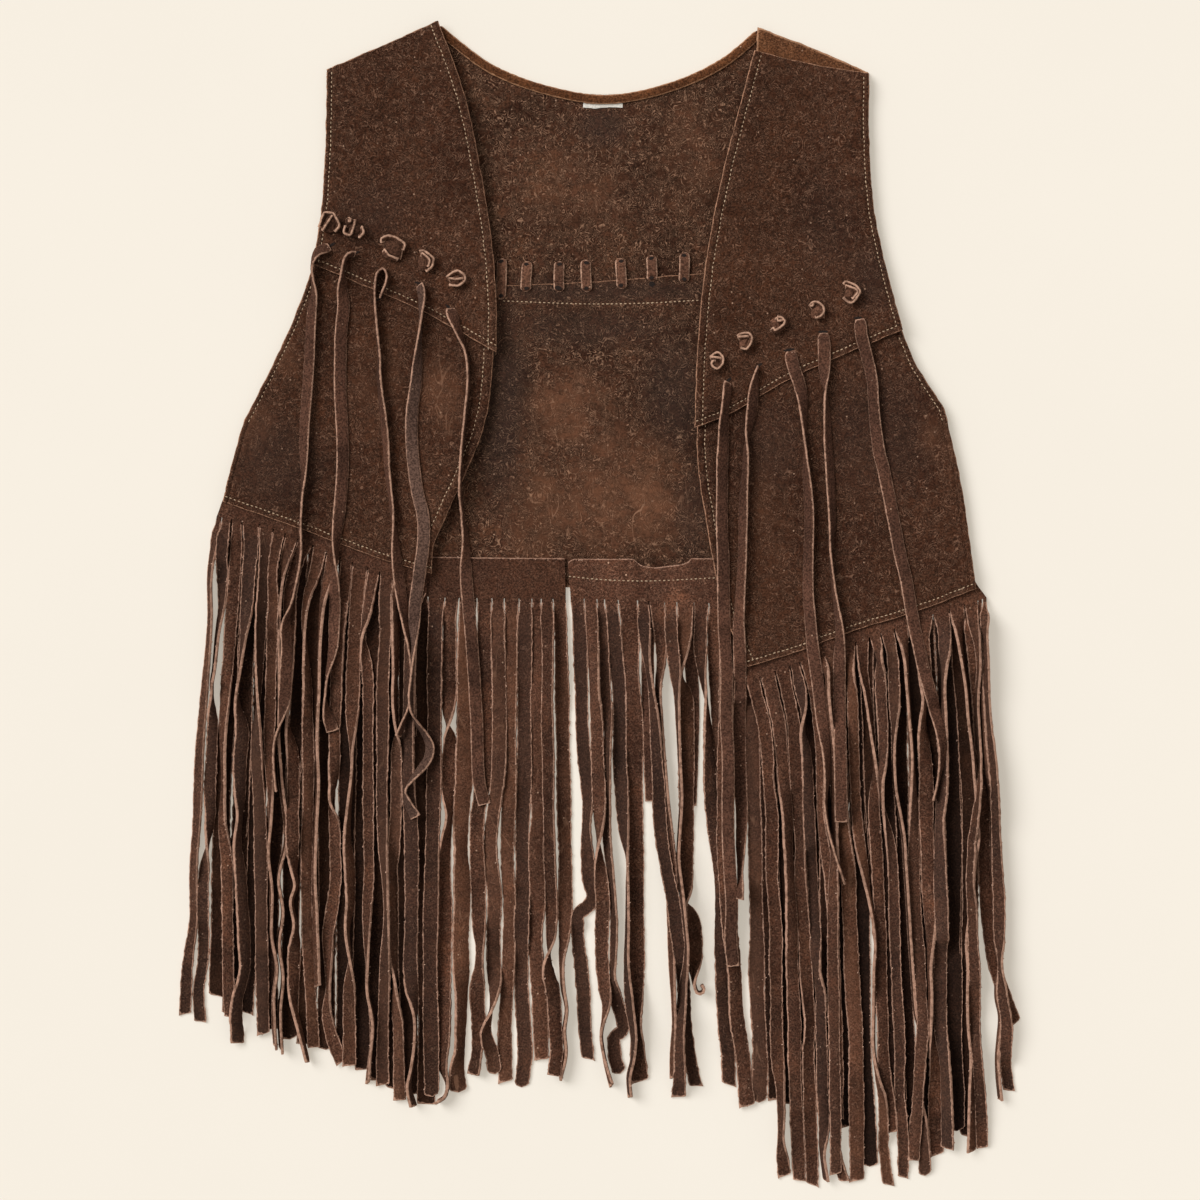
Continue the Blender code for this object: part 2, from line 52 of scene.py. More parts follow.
# Leather: walls, widths and the raggedness of what is cut from it.
SUEDE = 1.5
STRAND_WALL = 1.7
THONG_WALL = 1.8
THONG_WIDTH = 8.6
SLIT = 1.0
SEAM_GAP = 0.3
RIM_BULGE = 0.22
RAGGED = 0.14
SHARP = 48

# Small leather: the dip of a thong's first end, the loops, the knots, the slits and the binding.
THONG_DIP = 2.0
DIP_RUN = 4.5
THONG_NECK = 0.72
LOOP_WIDTH = 7.2
LOOP_ARCH = 0.9
LOOP_DIP = 1.2
LOOP_TONE = 4.0
LOOP_ROUND = 3.4
LOOP_POINTS = 31
KNOT_WIDTH = 4.6
KNOT_WALL = 1.75
KNOT_RISE = 3.8
KNOT_STEP = 0.9
KNOT_TURNS = (52, 70)
LUMP_CELLS = 4
LUMP_SHARP = 14
SLIT_POINTS = 14
BINDING_WIDTH = 5.8
BINDING_RISE = 1.2
BINDING_POINTS = 110
BINDING_SHARES = np.array([0.0, 0.08, 0.2, 0.4, 0.6, 0.8, 0.92, 1.0])

# The pile that pieces are laid on: its grid, its half sizes, and how far outside a face still counts.
GRID = 0.5
POOL = 4
REACH_X = 310.0
REACH_Y = 410.0
TOUCH = 0.36
SOFT_ROUNDS = 60

# Strands and thongs: steps along them, how far they sink into each other, and the shape of their cut edges.
STATION = 2.6
STRAND_ROUNDS = 7
SINK = 0.66
LEAN = 0.78
HULL = 0.8
ACROSS = 5
EDGE_INSET = 1.2
CUP = 0.8
NICK = 0.32
SLANT = 2.2
POINT = 3.0
ROOT_FADE = 14.0
ROOT_ROWS = 5
BAND_STEPS = (0.0, 0.05, 0.2, 0.4, 0.6, 0.8, 1.0)
HIDDEN_WIDTH = 11.5
# Hidden strands are darkened far below the rest: painted shade for the dark beneath the strands that lie on
# top.
HIDDEN_SHADE = -4.6
FRINGE_FUZZ = 42000.0
FRINGE_FIBRE = 1.6
THONG_FUZZ = 30000.0
THONG_FIBRE = 1.3

# Panels: the spacing of their points, close together along the edges, and how far an edge's lift reaches in.
PANEL_STEP = 3.2
EDGE_STEPS = (0.0, 0.6, 1.4, 2.2, 3.0, 3.8, 4.6, 5.4, 6.2, 7.2, 8.6, 10.5, 13.0)
EDGE_WOBBLE = 0.18
LIFT_REACH = 45.0
CALM_EDGE = 20.0

# Turned edges and sewing
EDGE_PUFF = 0.8
TROUGH = 0.45
TROUGH_WIDTH = 0.9
SWELL = 0.3
SWELL_IN = 2.6
SWELL_WIDTH = 1.6
SEAM_REACH = 8.0
STITCH_PITCH = 3.0
STITCH_LENGTH = 2.1
STITCH_THICK = 0.85

# The stage, in metres: half the floor's size, and the camera straight above the middle of the picture.
FLOOR_HALF = 6.0
CAMERA = (0.0, 0.00233, 2.2262)
LENS = 100
SENSOR = 36

# A panel's finish, what it rests on and its four cut edges. Each edge is one or more smooth stretches that
# meet in corners. seams pairs a side with how far in its stitches run and the share of the side they take
# up; puffed names the sides that are turned under.
Cut = namedtuple(
    "Cut", "finish rests_on top bottom left right lift_left lift_right seams puffed wall uneven",
    defaults=(0.0, 0.0, (), (), SUEDE, 0.7))

NECK = ((-107, 386), (-71, 359), (-30, 344), (0, 339), (39, 345), (82, 364), (105, 383))
PANELS = {
    "back_yoke": Cut(
        finish="suede_back", rests_on=(),
        top=(((-181, 354), (-107, 386)), NECK, ((105, 383), (177, 352))),
        bottom=(((-186, 201), (-67, 198), (3, 196), (67, 199), (186, 201)),),
        left=(((-181, 354), (-181, 302), (-183, 252), (-186, 201)),),
        right=(((177, 352), (176, 309), (178, 258), (186, 201)),)),
    "back_lower": Cut(
        finish="suede_back", rests_on=("back_yoke",),
        top=(((-187, 210), (-63, 212), (3, 215), (68, 220), (184, 225)),),
        bottom=(((-247, 67), (-180, 39), (-112, 16), (-20, 11), (80, 10), (247, 9)),),
        left=(((-187, 210), (-198, 193), (-219, 147), (-234, 118)), ((-234, 118), (-238, 108), (-247, 67))),
        right=(((184, 225), (198, 182), (209, 157), (225, 130)), ((225, 130), (237, 81), (247, 9)))),
    "front_left_yoke": Cut(
        finish="suede_front", rests_on=("back_yoke", "front_left_lower"),
        top=(((-182, 356), (-108, 388)),),
        bottom=(((-191, 226), (-165, 215), (-121, 196), (-69, 167)),),
        left=(((-182, 356), (-183, 302), (-186, 259), (-191, 226)),),
        right=(((-108, 388), (-91, 341), (-79, 285), (-71, 230), (-69, 201), (-69, 167)),),
        lift_left=2.0, lift_right=6.0,
        seams=(("right", 5.2, 0.01, 0.99), ("left", 3.3, 0.02, 0.98), ("bottom", 3.8, 0.02, 0.98)),
        puffed=("right", "left")),
    "front_left_lower": Cut(
        finish="suede_front", rests_on=("back_lower", "front_left_fringe"),
        top=(((-188, 234), (-163, 226), (-117, 206), (-71, 179)),),
        bottom=(((-251, 68), (-200, 50), (-137, 27), (-112, 20)),),
        left=(((-188, 234), (-201, 197), (-222, 151), (-237, 122)), ((-237, 122), (-241, 109), (-251, 68))),
        right=(((-71, 179), (-72, 152), (-77, 119), (-88, 90), (-103, 57), (-111, 37), (-112, 20)),),
        lift_left=2.0, lift_right=6.0,
        seams=(("right", 6, 0.06, 0.98), ("left", 3, 0.1, 0.68), ("bottom", 3.6, 0.01, 0.99)),
        puffed=("right", "left")),
    "front_right_yoke": Cut(
        finish="suede_front", rests_on=("back_yoke", "front_right_lower"),
        top=(((103, 368), (133, 361), (154, 357), (179, 353)),),
        bottom=(((63, 117), (79, 123), (127, 150), (172, 170), (201, 182)),),
        left=(((103, 368), (96, 342), (80, 278), (70, 223), (65, 169), (63, 117)),),
        right=(((179, 353), (179, 310), (183, 258), (189, 229), (201, 182)),),
        lift_left=4.0, lift_right=5.0,
        seams=(("left", 5, 0.01, 0.99), ("right", 3.4, 0.02, 0.98), ("bottom", 3.6, 0.02, 0.98)),
        puffed=("left", "right", "top")),
    "front_right_lower": Cut(
        finish="suede_front", rests_on=("back_lower", "front_right_fringe"),
        top=(((65, 129), (80, 136), (125, 162), (170, 182), (197, 192)),),
        bottom=(((98, -42), (137, -30), (163, -20), (214, -4), (250, 10)),),
        left=(((65, 129), (65, 96), (71, 54), (78, 15), (85, -11), (98, -42)),),
        right=(((197, 192), (211, 158), (229, 130)), ((229, 130), (240, 81), (250, 10))),
        lift_left=4.0, lift_right=5.0,
        seams=(("left", 5.2, 0.06, 0.98), ("right", 3.2, 0.08, 0.4), ("bottom", 3.4, 0.01, 0.99)),
        puffed=("left", "right")),
    "shoulder_turn_right": Cut(
        finish="suede_shoulder", rests_on=("back_yoke",),
        top=(((105, 384), (140, 371), (179, 354)),),
        bottom=(((104, 360), (135, 353), (177, 346)),),
        left=(((105, 384), (104, 360)),),
        right=(((179, 354), (177, 346)),),
        puffed=("top",),
        uneven=1.1),
    "label_stub": Cut(
        finish="label_cloth", rests_on=("back_yoke",),
        top=(((-11, 340), (15, 340)),),
        bottom=(((-11, 331), (-4, 330.6), (4, 331.2), (15, 330.8)),),
        left=(((-11, 340), (-11, 331)),),
        right=(((15, 340), (15, 330.8)),),
        wall=0.6, uneven=0.0),
}

# The fronts, in the order in which they are laid on the back and its fringes.
OVER_THE_BACK = (
    "front_left_fringe", "front_left_lower", "front_left_yoke", "front_right_fringe", "front_right_lower",
    "shoulder_turn_right", "front_right_yoke")

# Sewn lines that don't follow a panel's edge.
BACK_SEAM = ((-64, 201.7), (-5, 199.7), (32, 200.3), (68, 202.3))
BACK_FRINGE_SEAM = ((-20, 18), (0, 16), (25, 15), (76, 17))

# A fringe: the upper edge of its band, the line of its roots, the slits along that line, and each strand's
# run as places and turns in degrees. A strand leaves its root flat, and a place without a turn keeps the
# turn before it; a turn over nothing raises the right edge. A strand with a single place is hidden, and
# covered numbers the other hidden ones.
Fringe = namedtuple("Fringe", "rests_on runs top root cuts widths band_tone seed covered", defaults=((),))

FRONT_LEFT_RUNS = (
    ((-257, 40, 50), (-260, 20, 65), (-260, -10), (-262, -40, 60), (-264, -62, 50), (-267, -100, 40),
     (-268.5, -140), (-271, -180, 45), (-271, -212, 40), (-275, -240, 10), (-277, -274, 0)),
    ((-251.5, 40), (-252, 18, 10), (-252, 0, 50), (-255, -20, 70), (-257, -40, 75), (-259, -62, 90),
     (-258.5, -78, 150), (-259, -100, 180), (-260, -122), (-260, -142, 150), (-262, -161, 90),
     (-264, -180, 20), (-264.5, -205, 0), (-265, -238), (-268, -260), (-267, -279)),
    ((-242.5, 40), (-245, 0), (-248, -40), (-249.5, -60, 30), (-251, -90, 60), (-250.5, -120, 70),
     (-251.5, -145, 50), (-248.5, -170, 10), (-248, -205, 0), (-247.5, -240, 10), (-246.5, -275, 30)),
    ((-232.5, 40), (-234, 20), (-235, 0, 15), (-237, -20, 60), (-239.5, -42, 78), (-242, -64, 95),
     (-238.5, -84, 145), (-240, -105, 155), (-240, -122, 145), (-240, -140, 105), (-241.5, -158, 110),
     (-239.5, -180, 135), (-238, -205), (-237, -225, 138), (-237, -245, 130), (-241, -262),
     (-242, -293, 150)),
    ((-223, 40, -20), (-224, 18, -30), (-226, -10, -45), (-227, -40, -60), (-227.5, -64, -88),
     (-228.5, -84, -130), (-228.5, -104, -150), (-227.5, -125, -170), (-226.5, -155, -180), (-226, -200),
     (-225.5, -240), (-224.5, -287)),
    ((-215.5, 40), (-218, 20, 20), (-217.5, 0, 10), (-218.5, -30, 0), (-219.5, -62), (-220.5, -100, 20),
     (-219.5, -122, 55), (-219.5, -146, 80), (-221, -165), (-219, -192, 75), (-219, -222, 80),
     (-215.5, -244), (-217.5, -260), (-217.5, -278, 75), (-216.5, -296)),
    ((-208.5, 33, 30), (-211.5, 20, 65), (-213, 4, 80), (-213.5, -22, 85), (-213.5, -62), (-214.5, -84, 80),
     (-213, -115, 72), (-209.5, -160, 75), (-214.5, -183, 80), (-211.5, -206), (-214, -227), (-211.5, -249),
     (-213.5, -272, 75), (-212.5, -298)),
    ((-201, 30), (-206, 10, 10), (-206.5, -22, 20), (-208, -60, 60), (-208.5, -80, 90), (-205, -100, 150),
     (-204.5, -122, 180), (-204.5, -146), (-204.5, -165, 150), (-204, -178, 110), (-202.5, -188, 100),
     (-205.5, -197, 95), (-203, -215, 100), (-204, -233, 150), (-204.5, -250), (-204.5, -266, 110),
     (-200.5, -283, 100), (-195, -306, 95)),
    ((-190, 20, 20), (-195, 4, 50), (-197, -12, 70), (-196, -36, 105), (-195, -54, 130), (-195, -72, 150),
     (-194.5, -90, 180), (-194, -110), (-194.5, -132, 170), (-195.5, -162, 172), (-195.5, -200, 180),
     (-194, -240), (-191, -296)),
    ((-180.5, 19, 30), (-184, 4, 60), (-186, -20, 80), (-187, -60, 85), (-188.3, -92), (-187.5, -116, 80),
     (-189, -150), (-190, -182), (-189.5, -205, 70), (-188, -255, 60)),
    ((-170.5, 10), (-172.5, -10, 20), (-175, -40), (-176, -62, 10), (-177, -85, 0), (-177, -105, -20),
     (-178, -120, -60), (-179.7, -132, -90), (-177, -146, -150), (-176.5, -165, -180), (-176, -180),
     (-178, -200), (-181, -220, -160), (-181, -240, -130), (-181, -258, -110), (-182, -272, -140),
     (-179, -288, -170), (-172.5, -306, -180)),
    ((-162.5, 0), (-163.5, -20), (-164.5, -46), (-165, -70, 20), (-165.3, -95, 75), (-165.5, -115, 90),
     (-167.5, -138, 100), (-168.5, -155, 110), (-167, -175, 130), (-166.5, -200, 120), (-168.5, -218, 100),
     (-166.5, -238, 85), (-167, -258, 30), (-167, -280, 10), (-167, -308, 0)),
    ((-153.5, 5, 20), (-155, -8, 50), (-158, -21, 85), (-156.5, -33, 140), (-154.5, -50, 175),
     (-154.5, -80, 180), (-154.3, -120), (-154, -160), (-154, -185, 190), (-155, -205, 215),
     (-155.3, -222, 235), (-155, -240, 260), (-155.5, -255, 265), (-151.5, -280), (-153.5, -303, 262),
     (-155, -319, 255)),
    ((-143, 0), (-143, -20), (-144.5, -50), (-144.5, -90, 10), (-145, -130, 20), (-144.5, -155, 40),
     (-143, -180, 60), (-142, -205, 70), (-143, -240, 40), (-144, -270, 20), (-145, -300, 0), (-145, -321)),
    ((-136, 5, -40), (-136.5, -20, -60), (-136.5, -45, -70), (-137, -70, -80), (-135.5, -85, -90),
     (-135.5, -100, -160), (-135.8, -120, -180), (-136, -140), (-137, -158, -190), (-138, -175, -215),
     (-138, -195, -220), (-137.5, -215, -215), (-137.5, -232, -220), (-136.5, -248, -260),
     (-136.5, -262, -300), (-134.5, -280, -340), (-134, -305, -350), (-133.5, -331, -360)),
    ((-125, -10, 10), (-126.5, -40, 30), (-127, -70, 40), (-128, -100, 30), (-127.5, -125, 10),
     (-126, -145, 0), (-125.5, -170), (-125.5, -195), (-126, -220), (-126.5, -240), (-125.5, -256, -30),
     (-123.5, -272, -80), (-123.5, -290, -90), (-126, -310), (-127.5, -322, -80), (-124.5, -335, -70)),
)
BACK_LEFT_RUNS = (
    ((-255, -262),), ((-246, -274),), ((-237, -273),), ((-221, -284),), ((-207, -291),), ((-197, -294),),
    ((-183, -298),), ((-170, -304),), ((-158, -311),), ((-147, -318),), ((-137, -324),), ((-127, -328),),
    ((-116, -334),),
    ((-109.5, -8, 15), (-110.2, -40, 20), (-110.2, -90), (-111.5, -160), (-113, -230, 15), (-112, -329, 0)),
    ((-100, -8, 25), (-100, -20, 20), (-101, -40, 0), (-101, -55), (-101, -72, 45), (-101, -80, 80),
     (-100, -92, 150), (-100.7, -105, 180), (-101, -125, 150), (-100.5, -140, 110), (-103, -160, 130),
     (-104.5, -180, 160), (-103.8, -200, 180), (-104, -230), (-104, -260, 200), (-104, -290, 220),
     (-104.5, -310, 240), (-102, -322, 265), (-104, -329, 270), (-109, -332)),
    ((-89, -20, -15), (-89.5, -40), (-90, -60), (-90.5, -100), (-91, -120), (-92.6, -140), (-93, -150, -25),
     (-93, -163, -45), (-92.4, -180, -30), (-92, -200, -20), (-93, -220, -15), (-92.7, -240, -20),
     (-92.5, -260, -50), (-93, -280, -55), (-94, -300), (-95.5, -310, -40), (-94.5, -326, -10)),
    ((-77, -20, 15), (-77.4, -40, 10), (-76.5, -60, 0), (-76.5, -100), (-78, -120), (-81.4, -140, 5),
     (-82, -160, 20), (-81.4, -180, 10), (-81, -200, 0), (-80.6, -215, 25), (-80, -230, 60), (-80.5, -242),
     (-82, -260, 0), (-81, -280), (-82, -300, 50), (-84.5, -314, 40)),
    ((-68, -20, 20), (-67.6, -40, 0), (-67.2, -60), (-67.2, -100, 15), (-68, -118, 20), (-69.6, -130, 22),
     (-71.2, -142, 24), (-72.4, -152, 25), (-73, -163), (-72.4, -175, 20), (-71, -185, 15),
     (-70.2, -200, 10), (-71, -215, 0), (-71, -240), (-70, -255, 40), (-72, -270, 85), (-76, -285, 130),
     (-72, -300, 175), (-70, -314, 180)),
    ((-59, -20, 20), (-59.5, -40), (-60, -80), (-60, -120), (-61, -140, 10), (-61.5, -180), (-60, -200, 20),
     (-61, -240), (-62, -260, 10), (-63.5, -280, 0), (-63, -319)),
    ((-50, -20, 10), (-50.5, -60, 0), (-50.7, -120), (-51.5, -140), (-52, -160), (-51.3, -180), (-52, -200),
     (-52.5, -240), (-52.3, -260), (-51, -280), (-50, -300), (-52.5, -323)),
    ((-42.5, -20, 20), (-41.7, -60, 10), (-42.5, -100, 0), (-42, -120), (-40.8, -140, 10), (-42.7, -160, 0),
     (-41.6, -200, 10), (-43, -220, 20), (-42.2, -240, 15), (-40.5, -260, 0), (-39.7, -280),
     (-39, -304, 10)),
    ((-34.8, -20, 25), (-34.6, -40, 35), (-35, -60, 40), (-35, -80, 35), (-34.4, -100, 30), (-34.4, -120),
     (-34, -140, 40), (-33.6, -160), (-33.2, -180, 35), (-32.4, -200, 25), (-32.4, -220, 45),
     (-35, -240, 120), (-31, -262, 180), (-30, -280), (-29, -300), (-30.5, -314)),
    ((-26, -20, 20), (-25.4, -45), (-25, -75, 0), (-24.6, -100), (-24.2, -120), (-24, -140), (-23.4, -160),
     (-23.2, -200), (-23.5, -220, 40), (-25.5, -240, 75), (-24.5, -258, 80), (-22.5, -270, 85), (-24, -285),
     (-23, -300), (-27, -318)),
)
BACK_RIGHT_RUNS = (
    ((-13.3, -20), (-13, -40), (-12.3, -60), (-12, -80), (-10.8, -100), (-8.5, -120, 20), (-8, -132, 40),
     (-9, -150, 50), (-8.3, -170, 10), (-7, -185, 0), (-4.5, -197), (-9, -203), (-14.5, -207), (-15, -214),
     (-13, -240), (-11, -260), (-10.3, -280), (-8, -304)),
    ((-5, -20, 20), (-4, -40, 40), (-3.3, -60, 50), (-2, -80, 20), (-1.7, -100, 10), (-1, -120),
     (-0.3, -138, 30), (-0.3, -150, 60), (-0.7, -160, 90), (-0.5, -172, 130), (0.8, -185, 170),
     (1.8, -200, 180), (1.2, -220), (1.5, -240), (3, -256, 200), (4.2, -268, 240), (2, -279, 265),
     (0.5, -287, 270), (1.5, -297), (3.5, -307, 265), (7.5, -321, 255)),
    ((1.5, -20, 10), (2, -40), (3, -60), (5, -75, 35), (5.5, -88, 60), (4.8, -100, 58), (4.4, -120, 55),
     (4.4, -140, 52), (4.8, -158, 55), (7, -178, 65), (9, -198, 70), (9.5, -215, 60), (9, -235, 65),
     (8.7, -250, 70), (10.5, -262, 20), (12.5, -270, 0), (15.3, -280), (15.5, -284), (9.5, -290),
     (9.5, -296), (10, -303), (13.5, -314)),
    ((9.5, -20), (11, -40), (13, -60), (13.2, -80), (13.2, -100, 10), (14.2, -120, 20), (15.2, -140, 30),
     (16.3, -155, 55), (18, -168, 85), (18.3, -190), (18.3, -215, 80), (17.8, -240, 75), (20, -270, 60),
     (22.5, -290, 70), (21.5, -305, 80), (19.2, -315), (20, -329)),
    ((20, -15), (20.5, -30), (21.4, -50, 30), (22.2, -62, 20), (23, -80, 0), (23.2, -110), (23.2, -140),
     (23.5, -170), (24, -200), (24.2, -225), (23.7, -250), (23.8, -265, 30), (24.7, -282, 60),
     (25, -295, 30), (26.5, -319, 0)),
    ((29.5, -15, 20), (31, -35, 60), (34.5, -60, 70), (36.5, -80, 50), (37.7, -100, 30), (39, -120, 10),
     (39.7, -140, 0), (41.5, -160), (45, -180), (49, -200), (51.3, -220), (54, -240), (56, -260),
     (56.5, -280), (59.5, -300), (64, -322)),
    ((40.5, -20, 20), (41, -38, 50), (39, -55, 70), (39.5, -80, 60), (42, -105, 70), (44.5, -130, 80),
     (46.5, -155, 60), (48, -180, 40), (47.5, -210, 60), (48, -240, 70), (49, -265, 80), (49.5, -280),
     (48.5, -300, 75), (48.5, -316)),
    ((47.5, -20), (49.5, -40, 30), (51, -58, 70), (52, -80, 80), (53, -105, 85), (54, -130), (53, -150),
     (52, -170), (54, -190, 80), (56, -210), (57.5, -225), (55, -260, 60), (53, -290, 50), (53, -310, 30),
     (52.5, -329, 10)),
    ((56.7, -15, 20), (55.5, -30, 50), (53.7, -45, 85), (54, -52, 110), (57, -62, 165), (57.7, -80, 180),
     (57.5, -120), (57.5, -150), (56.7, -175), (57, -190, 210), (57.5, -200, 270), (61, -208, 320),
     (63, -220, 360), (63, -235), (62.5, -247, 430), (62.8, -255, 450), (65, -259.5), (68, -259.5),
     (69.5, -257), (68, -254)),
    ((67, -30, 20), (68, -45, 60), (70, -60, 85), (71.5, -80, 120), (72.7, -100, 150), (73.5, -120, 165),
     (75, -140, 180), (77.3, -160, 200), (79.3, -180, 230), (80, -200, 235), (80.7, -230, 200),
     (81, -240, 180), (81.7, -260), (83, -280), (85.3, -300), (86, -321)),
    ((76, -30, 20), (77, -60, 50), (78, -90, 60), (82, -140, 40), (87, -220, 10), (93, -300, 0)),
    ((86, -215), (89, -240, -20), (91.5, -280), (95, -300, 0), (98, -335)),
    ((102, -100), (103.5, -140), (104.5, -180), (105, -220), (104.3, -250), (107, -300), (106, -333)),
    ((118, -331),), ((128, -334),), ((137, -336),), ((147, -339),), ((157, -343),), ((166, -349),),
    ((180, -376),), ((195, -352),), ((199, -343),), ((208, -371),), ((220, -352),), ((230, -350),),
    ((229, -20), (230.5, -50), (234, -95), (236, -140), (236, -220), (236, -290), (238, -352)),
    ((241, -40), (245, -100), (247, -150), (246.5, -200), (245, -270), (246, -356)),
    ((249, -30), (252, -60), (254.5, -100), (256, -140), (257.5, -190), (262, -235), (270, -262),
     (277, -280)),
)
FRONT_RIGHT_RUNS = (
    ((104, -60), (109, -80), (111.5, -100, 10), (112.5, -120, 30), (114.5, -140, 0), (114.5, -160),
     (114.5, -180), (116, -200), (117.2, -220), (117, -240), (117.5, -260), (117.5, -280), (118, -300),
     (120, -320, 50), (121, -340, 60), (121, -362), (122, -370, 30), (123, -382, 0)),
    ((114.5, -60), (119, -80), (121, -100), (122.5, -120, -20), (124.5, -140, -40), (125, -160, -50),
     (126, -180), (127, -200, -40), (127.5, -220, -30), (127.5, -240, -20), (128.5, -260, 0), (129.5, -280),
     (129.5, -300), (130, -320), (131, -340), (132, -360), (133, -385)),
    ((125, -60), (129, -80, 10), (130, -100), (131, -120), (132, -140, 30), (133.5, -160, 50),
     (133.5, -180, 40), (134.5, -200, 20), (136, -220, 10), (137, -240, 0), (138, -260, -30),
     (139.5, -280, -40), (138.5, -300, -20), (139.5, -320, 0), (140, -340), (141, -360), (141.7, -388)),
    ((134, -60, 30), (135.5, -72, 80), (134.5, -85, 110), (137, -100, 150), (138.5, -120, 170),
     (139, -140, 180), (140, -160), (141.5, -180), (142.5, -200), (143.5, -220, 190), (143.5, -235, 220),
     (144.5, -245, 240), (147, -260, 215), (147, -280, 190), (147.7, -300, 180), (148, -320), (149, -340),
     (149.5, -352, 210), (148.5, -365, 250), (150.8, -384)),
    ((143, -60, 10), (145.5, -80, 20), (147, -100, 30), (147, -120, 50), (147.5, -140, 60),
     (149.5, -160, 30), (152.5, -180, 0), (154.5, -200), (156, -220), (156, -240), (157, -260), (158, -280),
     (158, -300), (158.7, -320), (157.5, -340, 40), (157, -355, 60), (159, -370, 50), (163, -385, 20)),
    ((150.5, -45, 70), (151.7, -60, 85), (153, -75), (155, -95, 80), (155.5, -120, 70), (156, -160, 60),
     (155, -200, 30), (156, -300, 0), (156.5, -340), (157, -380)),
    ((157.5, -60), (158.5, -90), (159.5, -120), (161, -145, 20), (163.5, -162, 30), (165.5, -180, 10),
     (166, -200, 0), (167, -220), (167.5, -240), (168.5, -260), (170, -280), (170.7, -300), (170.7, -320),
     (171, -340), (171.3, -362), (171.5, -385)),
    ((167, -48, 50), (168, -60, 10), (168.5, -80, 0), (169.3, -100), (170, -120), (171, -140),
     (173, -160, -10), (176, -178, -50), (179, -195, -75), (181.5, -210, -80), (183, -226, -85),
     (182, -245), (182.2, -270), (182.2, -298), (184.5, -315, -100), (188, -330, -130), (188.7, -345, -160),
     (189.3, -362, -180), (192.3, -388)),
    ((175.5, -45, -40), (178, -60, -60), (180.5, -78, -65), (182.5, -98, -80), (183.5, -112, -100),
     (183, -125, -140), (182.7, -140, -170), (184, -160, -180), (185, -180), (186, -200), (187, -220),
     (187, -240), (187.3, -260), (188.3, -280), (188.5, -300), (190.5, -320, -170), (193, -335, -160),
     (194.5, -352)),
    ((186.5, -38, 70), (186.7, -50, 20), (187.2, -65, 0), (188.5, -85, 10), (188.5, -100, 30),
     (187, -118, 75), (188.5, -135, 95), (191, -148, 120), (193.5, -160, 150), (195.2, -180, 170),
     (195.8, -200, 180), (196.3, -220), (197, -240), (197.8, -260), (199, -280), (199.8, -300),
     (199.3, -320), (201, -345), (202.2, -362), (202.2, -383)),
    ((195, -38), (195.7, -55, 10), (196, -70, 45), (195.5, -85, 75), (195.3, -105, 85), (196.5, -125),
     (199.5, -140), (202, -155), (203.3, -175), (205, -200), (206.5, -225), (208.3, -250), (210, -272),
     (214.5, -293), (213.5, -306), (212, -318), (213.5, -332, 80), (215.5, -345, 60), (216, -362, 30),
     (217, -382, 10)),
    ((203, -32, -60), (204.3, -55, -80), (206, -80, -85), (207.5, -100), (208.3, -120, -70),
     (209, -138, -40), (209, -155, -15), (209.3, -175, 0), (210.3, -200), (211.5, -220), (213, -240),
     (213.5, -260), (214.5, -280, 10), (213, -300, 20), (209, -371, 0)),
    ((216, -40), (216, -65, -70), (214.5, -80, -60), (215.5, -95, -30), (217, -110, -10), (217.5, -140, 0),
     (218, -160), (218.7, -180, 10), (219.8, -200, 30), (220.3, -220, 60), (219.5, -240, 85), (220, -262),
     (219.5, -280), (222, -295, 130), (223.5, -310, 160), (223.5, -330, 180), (224, -350), (225, -368)),
    ((229.5, -18, 10), (230, -30, 40), (229.5, -42, 75), (229, -58, 85), (229.3, -78, 75), (229, -100, 60),
     (228, -125, 50), (226.5, -145, 60), (226.5, -165, 40), (226.5, -185, 30), (227, -205, 20),
     (227.2, -225, 10), (226.5, -245, 0), (226, -265), (227, -285, 20), (229.5, -305, 50), (230.5, -325),
     (231.5, -363, 30)),
    ((239, -20, -60), (241, -38, -80), (243.7, -58, -85), (245.3, -78), (248, -100), (249.7, -122),
     (251.3, -142), (252.3, -156), (250, -172), (248.3, -192), (246, -210, -80), (244.3, -225),
     (245.3, -243), (245, -262), (245.5, -282), (247.5, -300, -75), (248, -325, -60), (247.5, -365, -50)),
    ((248.5, -12, 30), (251, -28, 70), (252, -45, 80), (251, -65), (251.5, -85, 75), (252.8, -105, 80),
     (251.5, -125, 75), (249, -145, 60), (247, -165), (246, -185), (247.5, -205, 40), (248, -225, 30),
     (249, -245, 20), (249.5, -265), (250, -285, 30), (251, -305), (253, -325, 20), (255, -363, 0)),
    ((253, -12, 50), (253.8, -30, 70), (254.5, -50, 75), (255.5, -75), (256.5, -95, 70), (259, -120, 75),
     (261.5, -140, 80), (262, -160), (262.5, -180), (263, -200), (263.5, -220), (264.5, -232, 85),
     (267, -240, 90), (265, -250), (264.5, -262, 85), (267, -275), (266, -290), (265, -302),
     (265.5, -315, 80), (267, -330)),
    ((255.5, -14, 60), (256.3, -40, 70), (258, -75), (260.5, -100, 60), (263, -140, 55), (264.5, -180, 30),
     (265.5, -200, 20), (265.5, -220, 30), (266, -238, 80), (267.5, -260, 40), (270.5, -280, 30),
     (270, -300, 0), (273, -325)),
)
